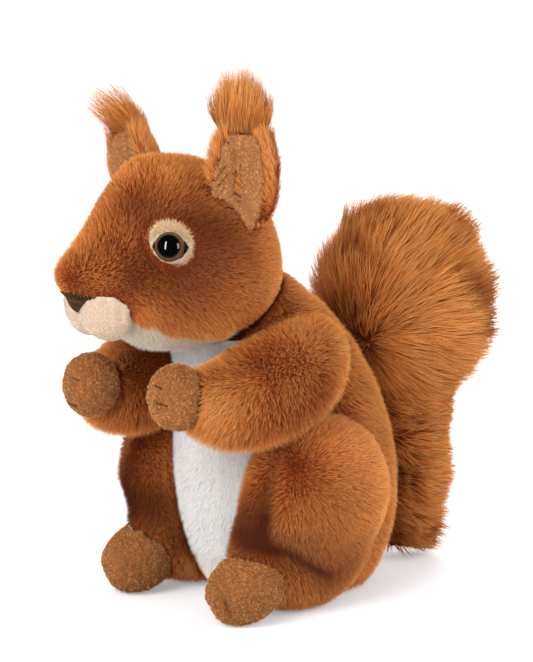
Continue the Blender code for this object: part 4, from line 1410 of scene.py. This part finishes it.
def spun_eye(name, foot, axis):
    """A dome with its flat back and shank, spun about the axis, that knows each point's ring."""
    form = bmesh.new()
    outline = []
    for step in range(DOME_STEPS + 1):
        angle = 0.5 * math.pi * step / DOME_STEPS
        outline.append((EYE_RADIUS * math.sin(angle), EYE_DOME * math.cos(angle)))
    outline += [(SHANK_RADIUS, 0), (SHANK_RADIUS, -SHANK_LENGTH), (0, -SHANK_LENGTH)]
    points = [form.verts.new((radius, 0, height)) for radius, height in outline]
    edges = [form.edges.new(pair) for pair in zip(points, points[1:])]
    bmesh.ops.spin(
        form, geom=points + edges, cent=(0, 0, 0), axis=(0, 0, 1), angle=math.tau,
        steps=SPIN_STEPS, use_merge=True,
    )
    bmesh.ops.remove_doubles(form, verts=form.verts, dist=1e-6)
    bmesh.ops.recalc_face_normals(form, faces=form.faces)
    ring = form.verts.layers.float.new("ring")
    for point in form.verts:
        point[ring] = point.co.xy.length / EYE_RADIUS if point.co.z >= 0 else 1.0
    pose = Matrix.Translation(foot) @ axis.to_track_quat("Z", "Y").to_matrix().to_4x4()
    bmesh.ops.transform(form, matrix=pose, verts=form.verts)
    mesh = bpy.data.meshes.new(name)
    form.to_mesh(mesh)
    form.free()
    mesh.shade_smooth()
    mesh.set_sharp_from_angle(angle=math.radians(50))
    made = bpy.data.objects.new(name, mesh)
    scene.collection.objects.link(made)
    return made


washer_white, tree, shader = principled("washer_moulded")
where = put(tree, "ShaderNodeTexCoord")["Object"]
grain = put(tree, "ShaderNodeTexNoise", {"Vector": where, "Scale": 900.0})[0]
sockets = {0: grain, 6: srgb(205, 205, 202), 7: srgb(228, 228, 225)}
moulded = put(tree, "ShaderNodeMix", sockets, data_type="RGBA")[2]
tree.links.new(moulded, shader.inputs["Base Color"])
shader.inputs["Roughness"].default_value = 0.45

eye_plastic, tree, shader = principled("printed_eye")
ring = put(tree, "ShaderNodeAttribute", attribute_name="ring")["Fac"]
ramp = put(tree, "ShaderNodeValToRGB", {0: ring})
stops = ramp[0].node.color_ramp.elements
for place, colour in IRIS_STOPS[1:-1]:
    stops.new(place).color = colour
stops[0].color = IRIS_STOPS[0][1]
stops[-1].color = IRIS_STOPS[-1][1]
where = put(tree, "ShaderNodeTexCoord")["Object"]
fleck = put(tree, "ShaderNodeTexNoise", {"Vector": where, "Scale": 1100.0, "Detail": 3.0})[0]
bright = sums(tree, "MULTIPLY_ADD", fleck, 0.7, 0.65)
printed = put(tree, "ShaderNodeHueSaturation", {"Value": bright, "Color": ramp[0]})[0]
tree.links.new(printed, shader.inputs["Base Color"])
polish = put(tree, "ShaderNodeTexNoise", {"Vector": where, "Scale": 60.0})[0]
tree.links.new(sums(tree, "MULTIPLY_ADD", polish, 0.03, 0.02), shader.inputs["Roughness"])
shader.inputs["Coat Weight"].default_value = 1.0
shader.inputs["Coat Roughness"].default_value = 0.02

felt_fuzz = pile_dye_and_shade(
    "felt_fuzz", srgb(18, 13, 10), srgb(34, 25, 19), srgb(58, 44, 34),
    sheen=0.1, spread=0.3, patch=0.2,
)
for side, word in SIDES:
    foot, axis = eye_axis(f"eye_{word}")
    eye = spun_eye(f"eye_{word}_dome", foot, axis)
    eye.data.materials.append(eye_plastic)
    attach(eye, "root")
    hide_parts(f"eye_{word}")
    washer = nodes[f"eye_washer_{word}"].data
    washer.materials.clear()
    washer.materials.append(washer_white)

    node = f"eye_felt_{word}"
    felt = cloth_of(node, f"{node}_leaf", square=0.00045, depth=0.0, smooth=1)
    places, _ = points_of(felt)
    ahead = np.array(axis)
    from_eye = places - np.array(foot)
    forward = (from_eye @ ahead)[:, None] * ahead
    place_points(felt, np.array(foot) + forward + FELT_SHARE * (from_eye - forward))
    comb(felt, (0, 0, -0.4), lift=1.2, height=0.0004, reach=(0.0003, 0.0006), stand=1.0)
    felt_pile = grown(
        felt, f"{node}_fuzz", short_strand, density=12e6, width=0.00018, lock=0.0010, pull=0.3,
        seed=11, stray=0.8,
    )
    finish_part(felt, felt_pile, node, felt_knit, felt_fuzz)

    node = f"eye_patch_{word}"
    patch = cloth_of(node, f"{node}_plush", square=0.0008, depth=0.0006, smooth=2)
    places, normals = points_of(patch)
    outwards = unit(places - np.array(foot))
    hidden = eased(0.10, 0.45, outwards @ np.array(NOSEWARD))
    stand = open_to_air(patch, node, 0.0012)
    shade = PATCH_SHADE + (1 - PATCH_SHADE) * hidden
    comb(patch, outwards, 0.8, 0.0014, (0.0014, 0.0030), stand, shade)
    patch_pile = grown(
        patch, f"{node}_pile", short_strand, density=7e6, width=0.00026, lock=0.0016, pull=0.3,
        seed=12,
    )
    finish_part(patch, patch_pile, node, cream_knit, patch_cream)

# %% [markdown]
# ## Nose and stitches
# The nose is embroidered: a fan of dark thread from its broad top down to the seam between the
# muzzle pads. The same thread draws two short fingers on each paw. Each thread is a round cord
# laid on the solids' surface, found by looking straight at it from the front.

# %% Nose and stitches
THREAD_RADIUS = 0.0006
PAW_THREAD_RADIUS = 0.0003
NOSE_THREADS = 19
NOSE_HALF_WIDTH = 0.0126
NOSE_TOP = -0.0074
NOSE_TOP_DROOP = 0.0008
NOSE_LOW = -0.0165
STEPS_ALONG = 8
# The x and z of each stitch's middle
PAW_STITCHES = {
    "left": ((0.0310, 0.1105), (0.0350, 0.1035)),
    "right": ((-0.0270, 0.1063), (-0.0300, 0.0940)),
}
STITCH_HALF_LENGTH = 0.0028
STITCH_SLOPE = 0.0004
IN_FRONT = -0.2


def laid(surface, start, way):
    """The place on a surface that is met from start, going the given way."""
    return surface.ray_cast(start, way)[0]


def threads(name, lines, radius, finish):
    """Round threads along lines of places, as one piece."""
    curve = bpy.data.curves.new(name, "CURVE")
    curve.dimensions = "3D"
    curve.bevel_depth = radius
    curve.bevel_resolution = 2
    curve.use_fill_caps = True
    for line in lines:
        spline = curve.splines.new("POLY")
        spline.points.add(len(line) - 1)
        for point, place in zip(spline.points, line):
            point.co = (*place, 1)
    holder = bpy.data.objects.new(f"{name}_lines", curve)
    scene.collection.objects.link(holder)
    made = settled(holder, name)
    made.data.materials.clear()
    made.data.materials.append(finish)
    made.data.shade_smooth()
    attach(made, "root")
    return made


nose_floss = knit("nose_floss", srgb(44, 30, 16), srgb(84, 60, 34), loop=1800.0)
paw_floss = knit("paw_floss", srgb(64, 38, 20), srgb(96, 60, 34), loop=1800.0)
face = surface_of("head", "muzzle_pad_left", "muzzle_pad_right")
straight_back = head_pose.to_3x3() @ Vector((0, 1, 0))
lines = []
for number in range(NOSE_THREADS):
    across = 2 * number / (NOSE_THREADS - 1) - 1
    top = NOSE_TOP - NOSE_TOP_DROOP * across**2
    line = []
    for step in range(STEPS_ALONG + 1):
        share = step / STEPS_ALONG
        x = across * NOSE_HALF_WIDTH * (1 - 0.9 * share)
        z = top + (NOSE_LOW - top) * share
        place = laid(face, head_pose @ Vector((x, -0.09, z)), straight_back)
        if place is not None:
            line.append(place)
    lines.append(line)
threads("nose_stitching", lines, THREAD_RADIUS, nose_floss)
for side, word in SIDES:
    surface = surface_of(f"paw_{word}")
    lines = []
    for x, z in PAW_STITCHES[word]:
        line = []
        for share in (-1, -0.5, 0, 0.5, 1):
            start = Vector((x + share * STITCH_HALF_LENGTH, IN_FRONT, z - share * STITCH_SLOPE))
            line.append(laid(surface, start, Vector((0, 1, 0))))
        lines.append(line)
    threads(f"paw_{word}_stitches", lines, PAW_THREAD_RADIUS, paw_floss)

# %% [markdown]
# ## Count
# The triangles of all the skins and piles are counted and printed.

# %% Count
print("triangles in all", sum(triangles.values()))
